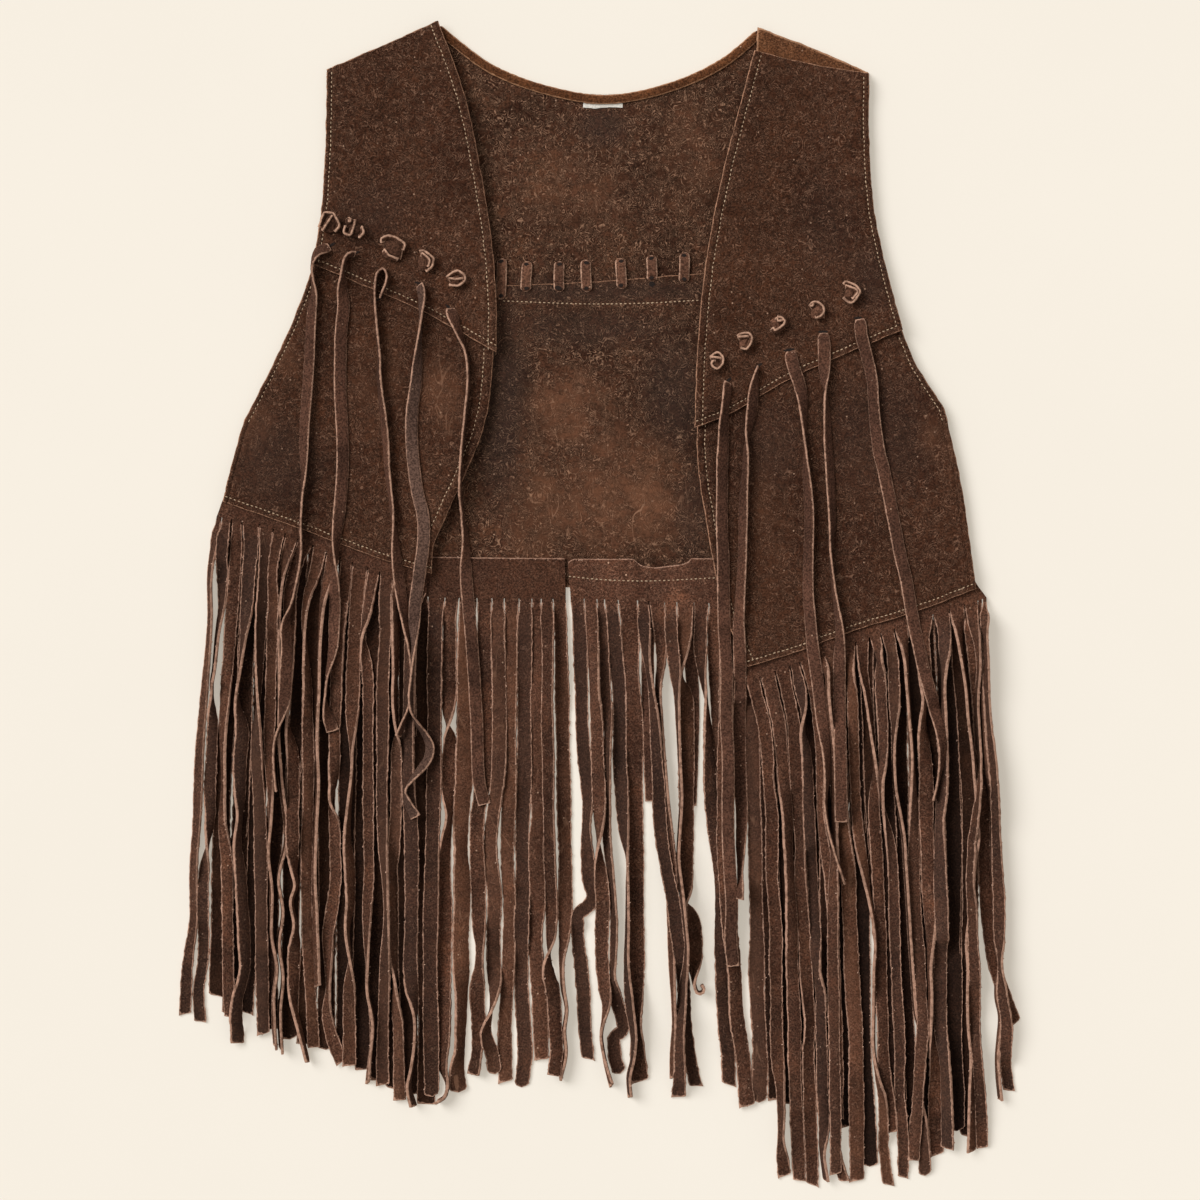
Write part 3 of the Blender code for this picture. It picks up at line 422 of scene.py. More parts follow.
FRINGES = {
    "front_left_fringe": Fringe(
        rests_on=("back_fringe_left",), runs=FRONT_LEFT_RUNS,
        top=((-247, 80), (-200, 63), (-137, 41), (-117, 34)),
        root=((-256, 58), (-226, 53), (-200, 43), (-166, 28), (-137, 18), (-115, 9)),
        cuts=(-256, -252, -245.5, -238.5, -227, -217.5, -209.5, -201, -191, -182, -173, -165, -154.5,
              -146.5, -137.5, -131, -115),
        widths=(7.4, 9.6), band_tone=-0.2, seed=11),
    "back_fringe_left": Fringe(
        rests_on=("back_lower",), runs=BACK_LEFT_RUNS,
        top=((-243, 82), (-180, 56), (-113, 31), (-70, 30.4), (-23.6, 30)),
        root=((-248, 54), (-180, 28), (-113, 4), (-22.4, 3)),
        cuts=(-248, -238, -228, -217, -206, -195, -185, -175, -165, -155, -145, -135, -125, -114.7, -103.3,
              -94, -82, -72, -64, -54, -45.3, -39.3, -31.3, -22.4),
        widths=(9.6, 11.6), band_tone=-1.4, seed=22),
    "back_fringe_right": Fringe(
        rests_on=("back_lower",), runs=BACK_RIGHT_RUNS,
        top=((-21, 27.5), (-18, 29.6), (22, 29.6), (28, 25), (36, 23.8), (48, 25), (58, 26.5), (61, 30),
             (74, 30), (244, 25)),
        root=((-20, 3.5), (25, 2), (80, 0), (248, -5)),
        cuts=(-20, -10.7, -2, 3, 12, 25, 32.7, 43, 51.3, 62.7, 72.7, 80, 91, 102, 112, 122, 132, 142, 152,
              162, 172, 182, 192, 202, 212, 222, 236, 242, 248),
        widths=(8.8, 10.8), band_tone=4.4, seed=33, covered=(25, 26)),
    "front_right_fringe": Fringe(
        rests_on=("back_fringe_right",), runs=FRONT_RIGHT_RUNS,
        top=((101, -29), (137, -17), (163, -8), (214, 8), (245, 21)),
        root=((97, -52), (149, -33), (195, -17), (222, -7), (252, 2), (258, 4)),
        cuts=(97, 106.5, 116.5, 126.5, 133, 141, 149, 163, 170.5, 179.5, 187, 196, 205, 222, 233, 243, 252,
              255, 258),
        widths=(7.4, 9.6), band_tone=0.0, seed=44),
}

# Lacing loops on the inside of the back: the upper end of each bar, and its length.
LOOPS = ((-66, 230, 27), (-49, 228, 20), (-27, 228, 20), (-9, 229, 21), (14, 230, 20), (34.3, 232, 17),
         (56, 234, 20))

# Long thongs of the front yokes and thong ends of the back's outside, each from its hole to its tip: places
# and turns, as for strands. One thong shows the smooth side of its leather.
THONGS = {
    "thong_left_1": (
        (-180, 237, 20), (-187, 234, 40), (-191, 226, 80), (-191, 216), (-190, 205, 60), (-191.5, 195, 40),
        (-192.5, 180, 35), (-193.5, 160, 30), (-195, 140), (-196.5, 120, 35), (-197, 100, 45),
        (-197.2, 85, 65), (-198, 72, 80), (-199, 55), (-199.5, 30), (-202, 15, 82), (-205, 0, 90),
        (-209, -14, 120), (-208, -30, 145), (-208.5, -45, 160), (-209, -60, 180), (-211, -74, 240),
        (-213, -82, 270), (-216.5, -94, 268), (-217, -105, 265), (-216, -118), (-215.3, -124)),
    "thong_left_2": (
        (-163, 232.5, -60), (-167.5, 231.5, -80), (-170.3, 226, -85), (-171, 219, -80), (-171.5, 210, -45),
        (-170.7, 200, -25), (-172.5, 180, -20), (-173, 160), (-173, 140), (-172, 120), (-171.3, 100),
        (-172, 80), (-173.5, 60, -25), (-175.5, 40, -60), (-176, 28, -90), (-176.5, 10, -150),
        (-176.7, -10, -160), (-177.5, -30, -140), (-182, -50, -100), (-183, -64, -90), (-181, -75, -40),
        (-178, -85, 0)),
    "thong_left_3": (
        (-146, 204, 90), (-143, 211), (-141.5, 218), (-144, 222.5), (-147.5, 220), (-149.3, 212, 88),
        (-149.8, 203, 85), (-149, 190), (-148, 177, 82), (-147, 165, 78), (-147, 150, 70), (-146, 140, 68),
        (-144.5, 128, 62), (-143.5, 118, 58), (-142.3, 105, 60), (-141.5, 90, 65), (-139.8, 75, 70),
        (-138, 60, 75), (-136.5, 48, 100), (-135.5, 35, 130), (-133, 10, 145), (-129, -15, 120),
        (-126, -32, 100), (-125.5, -55, 90), (-127, -70, 95), (-131, -80, 105), (-134, -88, 110)),
    "thong_left_4": (
        (-120, 212, 40), (-118.5, 206, 52), (-118.7, 197, 68), (-119.3, 188, 84), (-120.3, 175, 105),
        (-121.5, 160, 135), (-122.8, 145, 155), (-125, 130, 160), (-125.5, 115, 170), (-125.2, 105, 175),
        (-124.3, 95, 180), (-122.8, 82), (-120.5, 70), (-118, 60), (-117, 46), (-120, 20), (-123, 0),
        (-123.5, -12, 200), (-123.3, -25, 240), (-124.5, -45, 270), (-124.5, -72), (-121, -80, 250),
        (-116, -88, 240), (-113, -95, 225), (-114, -102), (-119, -110, 235), (-125, -117, 255),
        (-129, -124, 270), (-128, -131, 240), (-122.5, -142, 210)),
    "thong_left_5": (
        (-99.5, 196, -25), (-97.5, 190, -35), (-94.5, 182, -55), (-92, 175, -75), (-89.5, 168, -85),
        (-88, 160), (-87.5, 150), (-88, 140), (-89, 130), (-90, 120), (-91.5, 105), (-92.5, 90), (-93, 75),
        (-92, 60), (-89.5, 40, -60), (-89.3, 20, -20), (-87.8, 0, 0), (-86, -20), (-84.5, -40),
        (-83.3, -60), (-82.2, -80), (-81.7, -100), (-80.5, -120), (-77, -134)),
    "thong_right_1": (
        (85, 147, -40), (84, 138, -50), (82.8, 128, -52), (82, 118, -40), (82, 108, -30), (81.3, 95, -25),
        (81.2, 80), (81, 60, -22), (81.2, 45, -20), (81.8, 30, -15), (82, 10, -10), (82.5, -12, 0),
        (84.2, -40), (84, -80), (85, -100), (85, -140), (85.3, -160), (86.3, -180), (87.5, -200),
        (87, -225), (88.5, -241)),
    "thong_right_2": (
        (105, 157, -85), (103, 148, -60), (102, 140, -35), (101, 130, -38), (99.5, 120, -50),
        (98, 112, -75), (97.3, 105, -100), (96.9, 90, -115), (95.8, 75, -125), (95.4, 60, -132),
        (95, 45, -130), (94.6, 30), (93.8, 15, -135), (93, 0, -140), (92.3, -12, -150), (92.5, -25, -165),
        (93, -40, -180), (93, -80), (93.2, -100), (93.7, -120), (94.7, -140, -160), (94, -160, -140),
        (93.5, -180, -110), (92.8, -196, -120)),
    "thong_right_3": (
        (126.5, 168), (129, 157), (132.5, 147, -10), (134.5, 138, -30), (135.5, 128, -50), (136, 118, -68),
        (136.3, 110, -80), (136.8, 102, -92), (137, 93, -108), (137.8, 83, -122), (138.7, 72, -130),
        (139.3, 60, -135), (139.3, 48), (138.8, 35, -138), (138.5, 20, -142), (138.6, 5, -148),
        (139.8, -10, -152), (141, -25, -160), (144.5, -50, -180), (148, -80, -195), (150, -95, -220),
        (150.5, -115, -245), (149.5, -135, -260), (152, -152, -265), (157, -170), (162, -184)),
    "thong_right_4": (
        (149, 180), (149.3, 170), (149.3, 160, 15), (149.5, 151, 50), (150, 142, 90), (150.8, 132, 115),
        (151.3, 120, 125), (151.7, 108, 132), (152.6, 95, 135), (153.5, 80), (154.3, 65, 130),
        (154.6, 50, 122), (153.3, 35, 95), (154.3, 20, 82), (155.7, 8, 78), (157.3, -3, 72),
        (158.7, -12, 62), (159.5, -22, 50), (159.3, -40, 15), (159.3, -80, 0), (159.7, -120), (160, -145)),
    "thong_right_5": (
        (172.8, 189, 10), (173.8, 178, 15), (176.5, 168, 25), (179.5, 157, 30), (181.3, 147, 35),
        (182, 135), (183.3, 120, 30), (184.8, 108, 20), (186.5, 98, 10), (189, 89, 0), (191, 79, -5),
        (193, 69, -10), (194.8, 59), (196.8, 49), (198.5, 39), (200.5, 29), (203, 19), (205, 8),
        (206.8, -3), (209.5, -17), (212.5, -30), (215.5, -45), (219, -58), (222, -68, -20), (225, -80, -30),
        (227.5, -95, -45), (227, -105, -60), (224.5, -120, -80), (222, -131)),
}
TAILS = {
    "back_thong_end_1": ((34, 8), (32, -30), (32, -60), (33, -97), (34.4, -132)),
    "back_thong_end_2": ((58, 8), (60, -30), (62, -60), (61.5, -100), (60.2, -135)),
}
SMOOTH_THONG = "thong_left_4"

# Knots on the front yokes. bands are thongs on edge, whose cut edges show; body is the flat end that is
# drawn through them: its two ends and its width.
Knot = namedtuple("Knot", "bands body width tone")

KNOTS = {
    "knot_left_1": Knot(
        bands=(((-186.1, 250), (-182.8, 259.2), (-177.4, 258.8), (-175.6, 255.6), (-173.4, 251.2),
                (-176.5, 247.4)),
               ((-178.7, 258.2), (-181.6, 253.4), (-184.6, 248.4))),
        body=((-182.5, 252.5), (-176, 252.5)), width=10.0, tone=-2.0),
    "knot_left_2": Knot(
        bands=(((-163.4, 255.2), (-164.6, 250), (-166.2, 245.2), (-169.9, 246.6), (-168.9, 250.8)),
               ((-166.2, 255.9), (-168.1, 254.9), (-167.2, 253), (-165.4, 253.6), (-165.2, 255.4)),
               ((-158.9, 249.8), (-157.4, 246.6), (-160, 243.9))),
        body=((-167, 249.5), (-159.5, 247.5)), width=8.5, tone=-2.5),
    "knot_left_3": Knot(
        bands=(((-144.6, 240.2), (-145, 242.2), (-141.1, 243.9), (-136.7, 243.2), (-130, 239),
                (-131.2, 235.2)),
               ((-143.9, 235), (-141, 230.8), (-134.6, 228.8))),
        body=((-142.6, 237), (-132.4, 234.5)), width=12.0, tone=-2.5),
    "knot_left_4": Knot(
        bands=(((-119.6, 233.6), (-117.6, 234.2), (-111, 229.4), (-112, 224.4), (-115.6, 221.2)),
               ((-118.8, 232.4), (-113.6, 228.4), (-114.6, 224.4))),
        body=((-120, 227), (-114.5, 226.5)), width=9.5, tone=-0.5),
    "knot_left_5": Knot(
        bands=(((-101.3, 216), (-97.9, 218.8), (-94.8, 220.4), (-90.6, 218.1), (-90, 215), (-93.8, 211.5),
                (-100, 211.9)),
               ((-100, 215), (-95.4, 214.6), (-91, 215.4))),
        body=((-98.5, 215.5), (-93, 215.5)), width=7.5, tone=-1.0),
    "knot_right_1": Knot(
        bands=(((73.7, 163.2), (78.1, 166.5), (81.2, 163.4), (81, 159.6), (77.8, 156.2), (74.6, 158.6),
                (75, 160.9), (76.6, 161)),
               ((73.6, 163), (80, 162.6))),
        body=((75.3, 160.3), (79, 160)), width=7.0, tone=1.0),
    "knot_right_2": Knot(
        bands=(((91.8, 177.2), (94.4, 179), (98.9, 179.1), (100.4, 176.6), (99.6, 173), (97, 169.4),
                (93.8, 170.4)),
               ((92.2, 176.4), (98, 177))),
        body=((94, 173.8), (98, 173.6)), width=8.0, tone=1.5),
    "knot_right_3": Knot(
        bands=(((114.4, 183.1), (115.9, 180.6), (119.6, 182.4), (123, 185.4), (123.7, 188.3),
                (121.1, 190.9), (118.1, 190.9)),
               ((117, 189.4), (118.1, 186.9), (122.6, 188))),
        body=((115.6, 185), (121.5, 187.5)), width=8.0, tone=3.0),
    "knot_right_4": Knot(
        bands=(((139.8, 197.4), (141.9, 199.8), (144.8, 199.7), (147.8, 197.2), (148.4, 194.2),
                (146.6, 191.6), (143.2, 190.2)),
               ((140.2, 197.2), (141.8, 197), (142.2, 198.8))),
        body=((142, 194.4), (148.4, 194.2)), width=8.6, tone=3.0),
    "knot_right_5": Knot(
        bands=(((162.2, 211.6), (163.4, 213.3), (164.9, 212.4), (169.3, 210.6), (172.2, 207.2),
                (169.3, 202.4), (166.7, 199.8), (163.3, 201.7), (161.9, 203.4)),
               ((163, 210.4), (169.2, 208.2), (170.6, 206.8), (167.4, 202.8))),
        body=((164.2, 206.5), (168, 205.8)), width=7.5, tone=0.0),
}

# Slits that the loops and thongs go through: place, half length, half width and turn in degrees.
SLITS = {
    "back_yoke": tuple((x, y - 1.9, 1.8, 1.1, 8 * (x % 5) - 16) for x, y, _ in LOOPS)
    + tuple((x, y - length + 2.0, 1.7, 1.2, 10 * (x % 4) - 15) for x, y, length in LOOPS)
    + ((-27.8, 210.3, 2.2, 1.5, 0), (34.6, 212.9, 2.1, 1.8, 0)),
    "front_left_yoke": (
        (-179, 238.5, 3.4, 0.9, 30), (-163, 233.5, 3.2, 0.9, 20), (-146.5, 203.5, 3.2, 0.9, 40),
        (-120.5, 213, 3.2, 0.9, -20), (-100.5, 197, 3.2, 0.9, -40)),
    "front_right_yoke": (
        (85.3, 148.5, 2.8, 0.9, 40), (105.5, 158.5, 3, 0.9, 30), (126, 169, 4, 0.9, 10),
        (149, 181, 4, 0.9, 0), (172.6, 190, 4, 0.9, 0)),
}

# Patches of wear, and after them greyed patches: place, half sizes across and along, turn in degrees and
# strength.
WORN = {
    "back_lower": (
        (14, 66, 50, 36, 0, 1), (-40, 60, 26, 34, 0, 0.8), (-22, 128, 34, 28, 20, 0.8),
        (20, 100, 40, 20, -20, 0.6)),
    "back_yoke": ((-20, 275, 45, 30, 0, 0.35), (60, 300, 30, 40, 0, 0.3)),
    "front_left_lower": (
        (-230, 118, 14, 18, -30, 0.7), (-105, 140, 16, 30, 10, 0.45), (-210, 165, 10, 16, 20, 0.5),
        (-150, 150, 20, 40, 0, 0.3)),
    "front_right_lower": ((225, 105, 12, 24, 20, 0.4), (112, 60, 16, 60, 0, 0.35)),
}
# Greyed patches are darker and greyer: partly grey discolouration, partly painted shade, as on the strip of
# the back beside the left front's inner edge.
GREYED_AND_SHADED = {
    "back_lower": (
        (0, 208, 90, 9, 0, 0.8), (-10, 184, 64, 15, 0, 0.7), (50, 140, 24, 40, 0, 0.8),
        (-66, 140, 20, 80, 0, 0.9), (62, 60, 14, 40, 0, 0.6)),
    "back_yoke": ((2, 318, 18, 14, 0, 0.9), (0, 212, 90, 8, 0, 0.5)),
    "front_left_lower": ((-215, 95, 34, 34, 0, 0.6),),
    "front_left_yoke": ((-150, 262, 30, 22, 0, 0.4),),
    "front_right_yoke": ((180, 215, 16, 24, 0, 0.5), (150, 250, 22, 40, 0, 0.3)),
    "front_right_lower": ((185, 110, 40, 50, 0, 0.5), (115, 105, 26, 30, 0, 0.5)),
}

# Screen colours of each suede: its deep, middle and warm patches, its fibres and its cut edges. Then how
# far in a cut edge shows, in millimetres, and how strong the curled fibres are.
FINISHES = {
    "suede_front": ((53, 31, 21), (69, 43, 30), (80, 49, 33), (140, 106, 86), (176, 132, 106), 0.55, 0.46),
    "suede_back": ((48, 29, 20), (75, 48, 35), (92, 60, 42), (146, 112, 90), (168, 124, 98), 0.6, 0.72),
    "suede_fringe": ((56, 35, 26), (82, 53, 40), (102, 66, 48), (132, 99, 81), (184, 144, 123), 0.8, 0.34),
    "suede_thong": ((62, 41, 32), (86, 58, 46), (100, 67, 52), (126, 96, 80), (186, 146, 124), 0.8, 0.1),
    "suede_smooth": ((72, 53, 45), (90, 68, 58), (98, 75, 65), (126, 96, 80), (186, 146, 124), 0.8, 0.0),
    "suede_lump": ((66, 44, 34), (92, 63, 49), (106, 73, 57), (126, 96, 80), (194, 154, 131), 0.7, 0.0),
    "suede_knot": ((58, 38, 29), (84, 57, 44), (104, 71, 55), (126, 96, 80), (198, 158, 134), 1.05, 0.1),
    "suede_shoulder": ((72, 44, 28), (98, 62, 40), (124, 82, 54), (150, 108, 80), (188, 142, 110), 1.5, 0.3),
    "suede_binding": ((64, 37, 23), (92, 56, 34), (118, 74, 45), (140, 100, 72), (178, 132, 100), 0.8, 0.2),
}

# Plain finishes: two screen colours, the scale of their mottling and their roughness.
PLAIN = {
    "label_cloth": ((205, 200, 190), (238, 234, 226), 900.0, 0.9),
    "thread": ((168, 140, 112), (206, 180, 150), 700.0, 0.85),
    "fibre": ((140, 106, 88), (205, 168, 146), 500.0, 0.95),
    # The slits' colour is painted shade: the dark inside the holes that the loops and thongs go through.
    "slit": ((20, 11, 7), (34, 20, 13), 600.0, 1.0),
    "floor": ((195, 191, 184), (197, 193, 186), 3.0, 0.9),
}


def linear(red, green, blue):
    """A colour as seen on a screen, made linear."""
    shares = [value / 255 for value in (red, green, blue)]
    return (*(v / 12.92 if v <= 0.04045 else ((v + 0.055) / 1.055) ** 2.4 for v in shares), 1.0)


class Pile:
    """Height of what has been laid so far, on a fine grid over the surface."""

    def __init__(self):
        self.height = np.zeros((int(2 * REACH_Y / GRID) + 1, int(2 * REACH_X / GRID) + 1))

    def window(self, triangle):
        """Slices of the grid round a triangle, the places of their points, and which it touches."""
        low = np.floor((triangle.min(axis=0) + (REACH_X, REACH_Y)) / GRID).astype(int) - 1
        high = np.ceil((triangle.max(axis=0) + (REACH_X, REACH_Y)) / GRID).astype(int) + 2
        x = (np.arange(low[0], high[0]) * GRID - REACH_X)[None, :]
        y = (np.arange(low[1], high[1]) * GRID - REACH_Y)[:, None]
        after = triangle[[1, 2, 0]]
        area = np.sum(triangle[:, 0] * after[:, 1] - triangle[:, 1] * after[:, 0])
        mask = np.ones((high[1] - low[1], high[0] - low[0]), bool)
        for (ax, ay), (bx, by) in zip(triangle, after):
            length = math.hypot(bx - ax, by - ay)
            if length > 1e-9:
                side = ((bx - ax) * (y - ay) - (by - ay) * (x - ax)) / length
                mask &= np.sign(area) * side >= -TOUCH
        return (slice(low[1], high[1]), slice(low[0], high[0])), x, y, mask

    def under(self, quad):
        """The highest point below a quad, given in plan."""
        top = 0.0
        for corners in ((0, 1, 2), (0, 2, 3)):
            where, _, _, mask = self.window(quad[list(corners)])
            if mask.any():
                top = max(top, float(self.height[where][mask].max()))
        return top

    def cover(self, points, faces):
        """Adds a piece's surface to the pile."""
        for face in faces:
            for k in range(1, len(face) - 1):
                a, b, c = points[face[0]], points[face[k]], points[face[k + 1]]
                d, e = b - a, c - a
                area = d[0] * e[1] - d[1] * e[0]
                if abs(area) < 1e-6:
                    continue
                slope_x = (d[2] * e[1] - e[2] * d[1]) / area
                slope_y = (d[0] * e[2] - e[0] * d[2]) / area
                where, x, y, mask = self.window(np.array([a[:2], b[:2], c[:2]]))
                z = a[2] + slope_x * (x - a[0]) + slope_y * (y - a[1])
                z = np.clip(z, min(a[2], b[2], c[2]), max(a[2], b[2], c[2]))
                held = self.height[where]
                self.height[where] = np.where(mask, np.maximum(held, z), held)

    def at(self, plan):
        """Height at points given in plan."""
        rows, columns = self.height.shape
        row = np.clip(np.rint((plan[..., 1] + REACH_Y) / GRID).astype(int), 0, rows - 1)
        column = np.clip(np.rint((plan[..., 0] + REACH_X) / GRID).astype(int), 0, columns - 1)
        return self.height[row, column]

    def on_top(self, plan):
        """Points given in plan, put on the pile."""
        return np.column_stack([plan, self.at(plan)])

    def drape(self, plan):
        """Underside of a soft sheet laid on the pile, at the sheet's points."""
        rows, columns = (self.height.shape[0] - 1) // POOL, (self.height.shape[1] - 1) // POOL
        cells = self.height[:-1, :-1].reshape(rows, POOL, columns, POOL).max(axis=(1, 3))
        need = widest(cells)
        need = np.where(need > 0, need + SEAM_GAP, 0.0)
        size = POOL * GRID
        middle = 0.5 * (POOL - 1) * GRID
        x = (np.arange(columns) * size + middle - REACH_X)[None, :]
        y = (np.arange(rows) * size + middle - REACH_Y)[:, None]
        weight = widest(widest(within(outline_of(plan), x, y).astype(float)))
        height = need.copy()
        for _ in range(SOFT_ROUNDS):
            height = np.maximum(need, near(height * weight) / np.maximum(near(weight), 1e-6))
        fx = np.clip((plan[..., 0] + REACH_X - middle) / size, 0, columns - 1.001)
        fy = np.clip((plan[..., 1] + REACH_Y - middle) / size, 0, rows - 1.001)
        i, j = fy.astype(int), fx.astype(int)
        u, v = fx - j, fy - i
        low = height[i, j] * (1 - u) + height[i, j + 1] * u
        high = height[i + 1, j] * (1 - u) + height[i + 1, j + 1] * u
        return low * (1 - v) + high * v


def widest(cells):
    """Highest value in each cell and the eight round it."""
    wide = np.pad(cells, 1, mode="edge")
    rows, columns = cells.shape
    return np.max([wide[i: i + rows, j: j + columns] for i in range(3) for j in range(3)], axis=0)


def near(cells):
    """Mean of each cell and the four beside it."""
    wide = np.pad(cells, 1, mode="edge")
    total = wide[1:-1, 1:-1] + wide[:-2, 1:-1] + wide[2:, 1:-1]
    return 0.2 * (total + wide[1:-1, :-2] + wide[1:-1, 2:])


def within(outline, x, y):
    """Which points of a grid lie inside a closed line."""
    inside = np.zeros(np.broadcast(x, y).shape, bool)
    for (ax, ay), (bx, by) in zip(outline, np.roll(outline, -1, axis=0)):
        if ay != by:
            inside ^= ((ay > y) != (by > y)) & (x < (bx - ax) * (y - ay) / (by - ay) + ax)
    return inside


def ease(x):
    """A soft step from 0 to 1."""
    x = np.clip(x, 0.0, 1.0)
    return x * x * (3 - 2 * x)


def unit(rows):
    """Rows made one unit long."""
    return rows / np.maximum(np.linalg.norm(rows, axis=1), 1e-9)[:, None]


def across(path):
    """The level direction across a line at each of its points, to +X where it runs towards -Y."""
    along = unit(np.gradient(path, axis=0))
    return np.column_stack([-along[:, 1], along[:, 0]])


def run_of(line):
    """How far along a line each of its points is."""
    return np.concatenate([[0.0], np.cumsum(np.linalg.norm(np.diff(line, axis=0), axis=1))])


def length_of(line):
    return float(np.linalg.norm(np.diff(line, axis=0), axis=1).sum())


def end_gaps(line):
    """Distance of each of a line's points from the nearer end."""
    run = run_of(line)
    return np.minimum(run, run[-1] - run)


def smooth_line(points, step):
    """A smooth curve through the given rows, in steps of its length in plan."""
    knots = np.array(points, float)
    span = np.linalg.norm(np.diff(knots[:, :2], axis=0), axis=1)
    at = np.concatenate([[0.0], np.cumsum(span)])
    count = max(3, int(round(at[-1] / step)))
    fine = np.linspace(0.0, at[-1], count + 1)
    if len(knots) == 2:
        return knots[0] + (knots[1] - knots[0]) * (fine / at[-1])[:, None]
    slope = np.gradient(knots, at, axis=0)
    k = np.clip(np.searchsorted(at, fine, side="right") - 1, 0, len(span) - 1)
    t = ((fine - at[k]) / span[k])[:, None]
    h = span[k][:, None]
    return (
        (1 + 2 * t) * (1 - t) ** 2 * knots[k]
        + t * (1 - t) ** 2 * h * slope[k]
        + t * t * (3 - 2 * t) * knots[k + 1]
        + t * t * (t - 1) * h * slope[k + 1]
    )


def with_turns(run):
    """A run's places with all their turns. A place without one keeps the turn before it."""
    rows = []
    turn = 0.0
    for x, y, *turned in run:
        turn = turned[0] if turned else turn
        rows.append((x, y, turn))
    return rows


def edge_line(stretches):
    """A cut edge as one fine line."""
    lines = [smooth_line(points, 1.0) for points in stretches]
    return np.concatenate([lines[0]] + [line[1:] for line in lines[1:]])


def at_shares(line, shares):
    """Points at given shares of a line's length."""
    run = run_of(line)
    at = np.asarray(shares) * run[-1]
    return np.stack([np.interp(at, run, column) for column in line.T], axis=1)


def graded(length):
    """Shares of a length, close together near both ends."""
    near_end = [step for step in EDGE_STEPS if step < 0.45 * length]
    last = near_end.pop()
    middle = max(1, int(round((length - 2 * last) / PANEL_STEP)))
    inner = np.linspace(last, length - last, middle + 1)
    far_end = [length - step for step in reversed(near_end)]
    return np.concatenate([near_end, inner, far_end]) / length


def distance_to(points, line):
    """Distance from each point to a line."""
    best = np.full(len(points), 1e9)
    for a, b in zip(line[:-1:2], line[2::2]):
        run = b - a
        t = np.clip((points - a) @ run / max(run @ run, 1e-9), 0, 1)
        best = np.minimum(best, np.hypot(*(points - a - t[:, None] * run).T))
    return best


def quads_of(at):
    """Faces of a grid of numbered points, which run anticlockwise from above."""
    return np.stack([at[:-1, :-1], at[1:, :-1], at[1:, 1:], at[:-1, 1:]], axis=-1).reshape(-1, 4)


def grid_quads(rows, columns):
    """Faces of a whole grid of points."""
    return quads_of(np.arange((rows + 1) * (columns + 1)).reshape(rows + 1, columns + 1))


def closed_wall(under, over, quads, rng):
    """A wall between two sheets of points, with a rounded rim: points, faces, and the points at the rim."""
    count = len(under)
    ends = np.roll(quads, -1, axis=1)
    start, end = quads.ravel(), ends.ravel()
    free = ~np.isin(start * count + end, end * count + start)
    start, end = start[free], end[free]
    rim = np.unique(np.concatenate([start, end]))
    place = np.zeros(count, int)
    place[rim] = 2 * count + np.arange(len(rim))
    outward = np.zeros((count, 3))
    push = np.cross(over[end] - over[start], over[start] - under[start])
    np.add.at(outward, start, push)
    np.add.at(outward, end, push)
    rough = RIM_BULGE * (1 + 0.9 * rng.uniform(-1, 1, len(rim)))[:, None]
    middle = 0.5 * (under[rim] + over[rim]) + unit(outward[rim]) * rough
    faces = np.concatenate([
        quads + count,
        quads[:, ::-1],
        np.stack([start, end, place[end], place[start]], axis=1),
        np.stack([place[start], place[end], end + count, start + count], axis=1),
    ])
    return np.concatenate([under, over, middle]), faces, rim


PIECES = {}


def show(name, data):
    """Puts a mesh, light or camera into the scene."""
    made = bpy.data.objects.new(name, data)
    bpy.context.scene.collection.objects.link(made)
    return made


def store(mesh, marks):
    """Writes marks, which are values at a mesh's points that its finish or its tree reads."""
    for label, values in marks.items():
        layer = mesh.attributes.new(label, "FLOAT", "POINT")
        layer.data.foreach_set("value", np.asarray(values, np.float32))


def add_piece(name, points, faces, finish, marks):
    """A plain mesh piece with its finish and marks."""
    mesh = bpy.data.meshes.new(name)
    mesh.from_pydata((points * MM).tolist(), [], faces.tolist())
    store(mesh, marks)
    mesh.materials.append(MATERIALS[finish])
    mesh.shade_smooth()
    mesh.set_sharp_from_angle(angle=math.radians(SHARP))
    PIECES[name] = show(name, mesh)
    return PIECES[name]


def patch_values(points, patches):
    """How strongly hand-placed patches touch each point."""
    total = np.zeros(len(points))
    for x, y, across_it, along_it, turn, strength in patches:
        c, s = math.cos(math.radians(turn)), math.sin(math.radians(turn))
        dx, dy = points[:, 0] - x, points[:, 1] - y
        u, v = (dx * c + dy * s) / across_it, (dy * c - dx * s) / along_it
        total = np.maximum(total, strength * ease(1.3 - np.hypot(u, v)))
    return total


def ripple(points, seed, size):
    """Low, broad unevenness of a laid hide."""
    rng = random.Random(seed)
    rise = np.zeros(len(points))
    for _ in range(7):
        turn, wave = rng.uniform(0, math.pi), rng.uniform(35, 110)
        along = points[:, 0] * math.cos(turn) + points[:, 1] * math.sin(turn)
        rise += np.sin(2 * math.pi * (along / wave + rng.random()))
    return size * ease(0.5 + rise / 6)


def wobbled(line):
    """A cut edge with the small unevenness of hand shears, and its ends kept."""
    rng = random.Random(round(float(np.abs(line[0]).sum() + 3 * np.abs(line[-1]).sum())))
    run = run_of(line)
    shift = np.zeros(len(line))
    for wave in (11, 19, 31):
        shift += np.sin(2 * math.pi * (run / (wave * rng.uniform(0.9, 1.1)) + rng.random()))
    shift *= 0.5 * EDGE_WOBBLE * ease(np.minimum(run, run[-1] - run) / 8)
    return line + across(line) * shift[:, None]


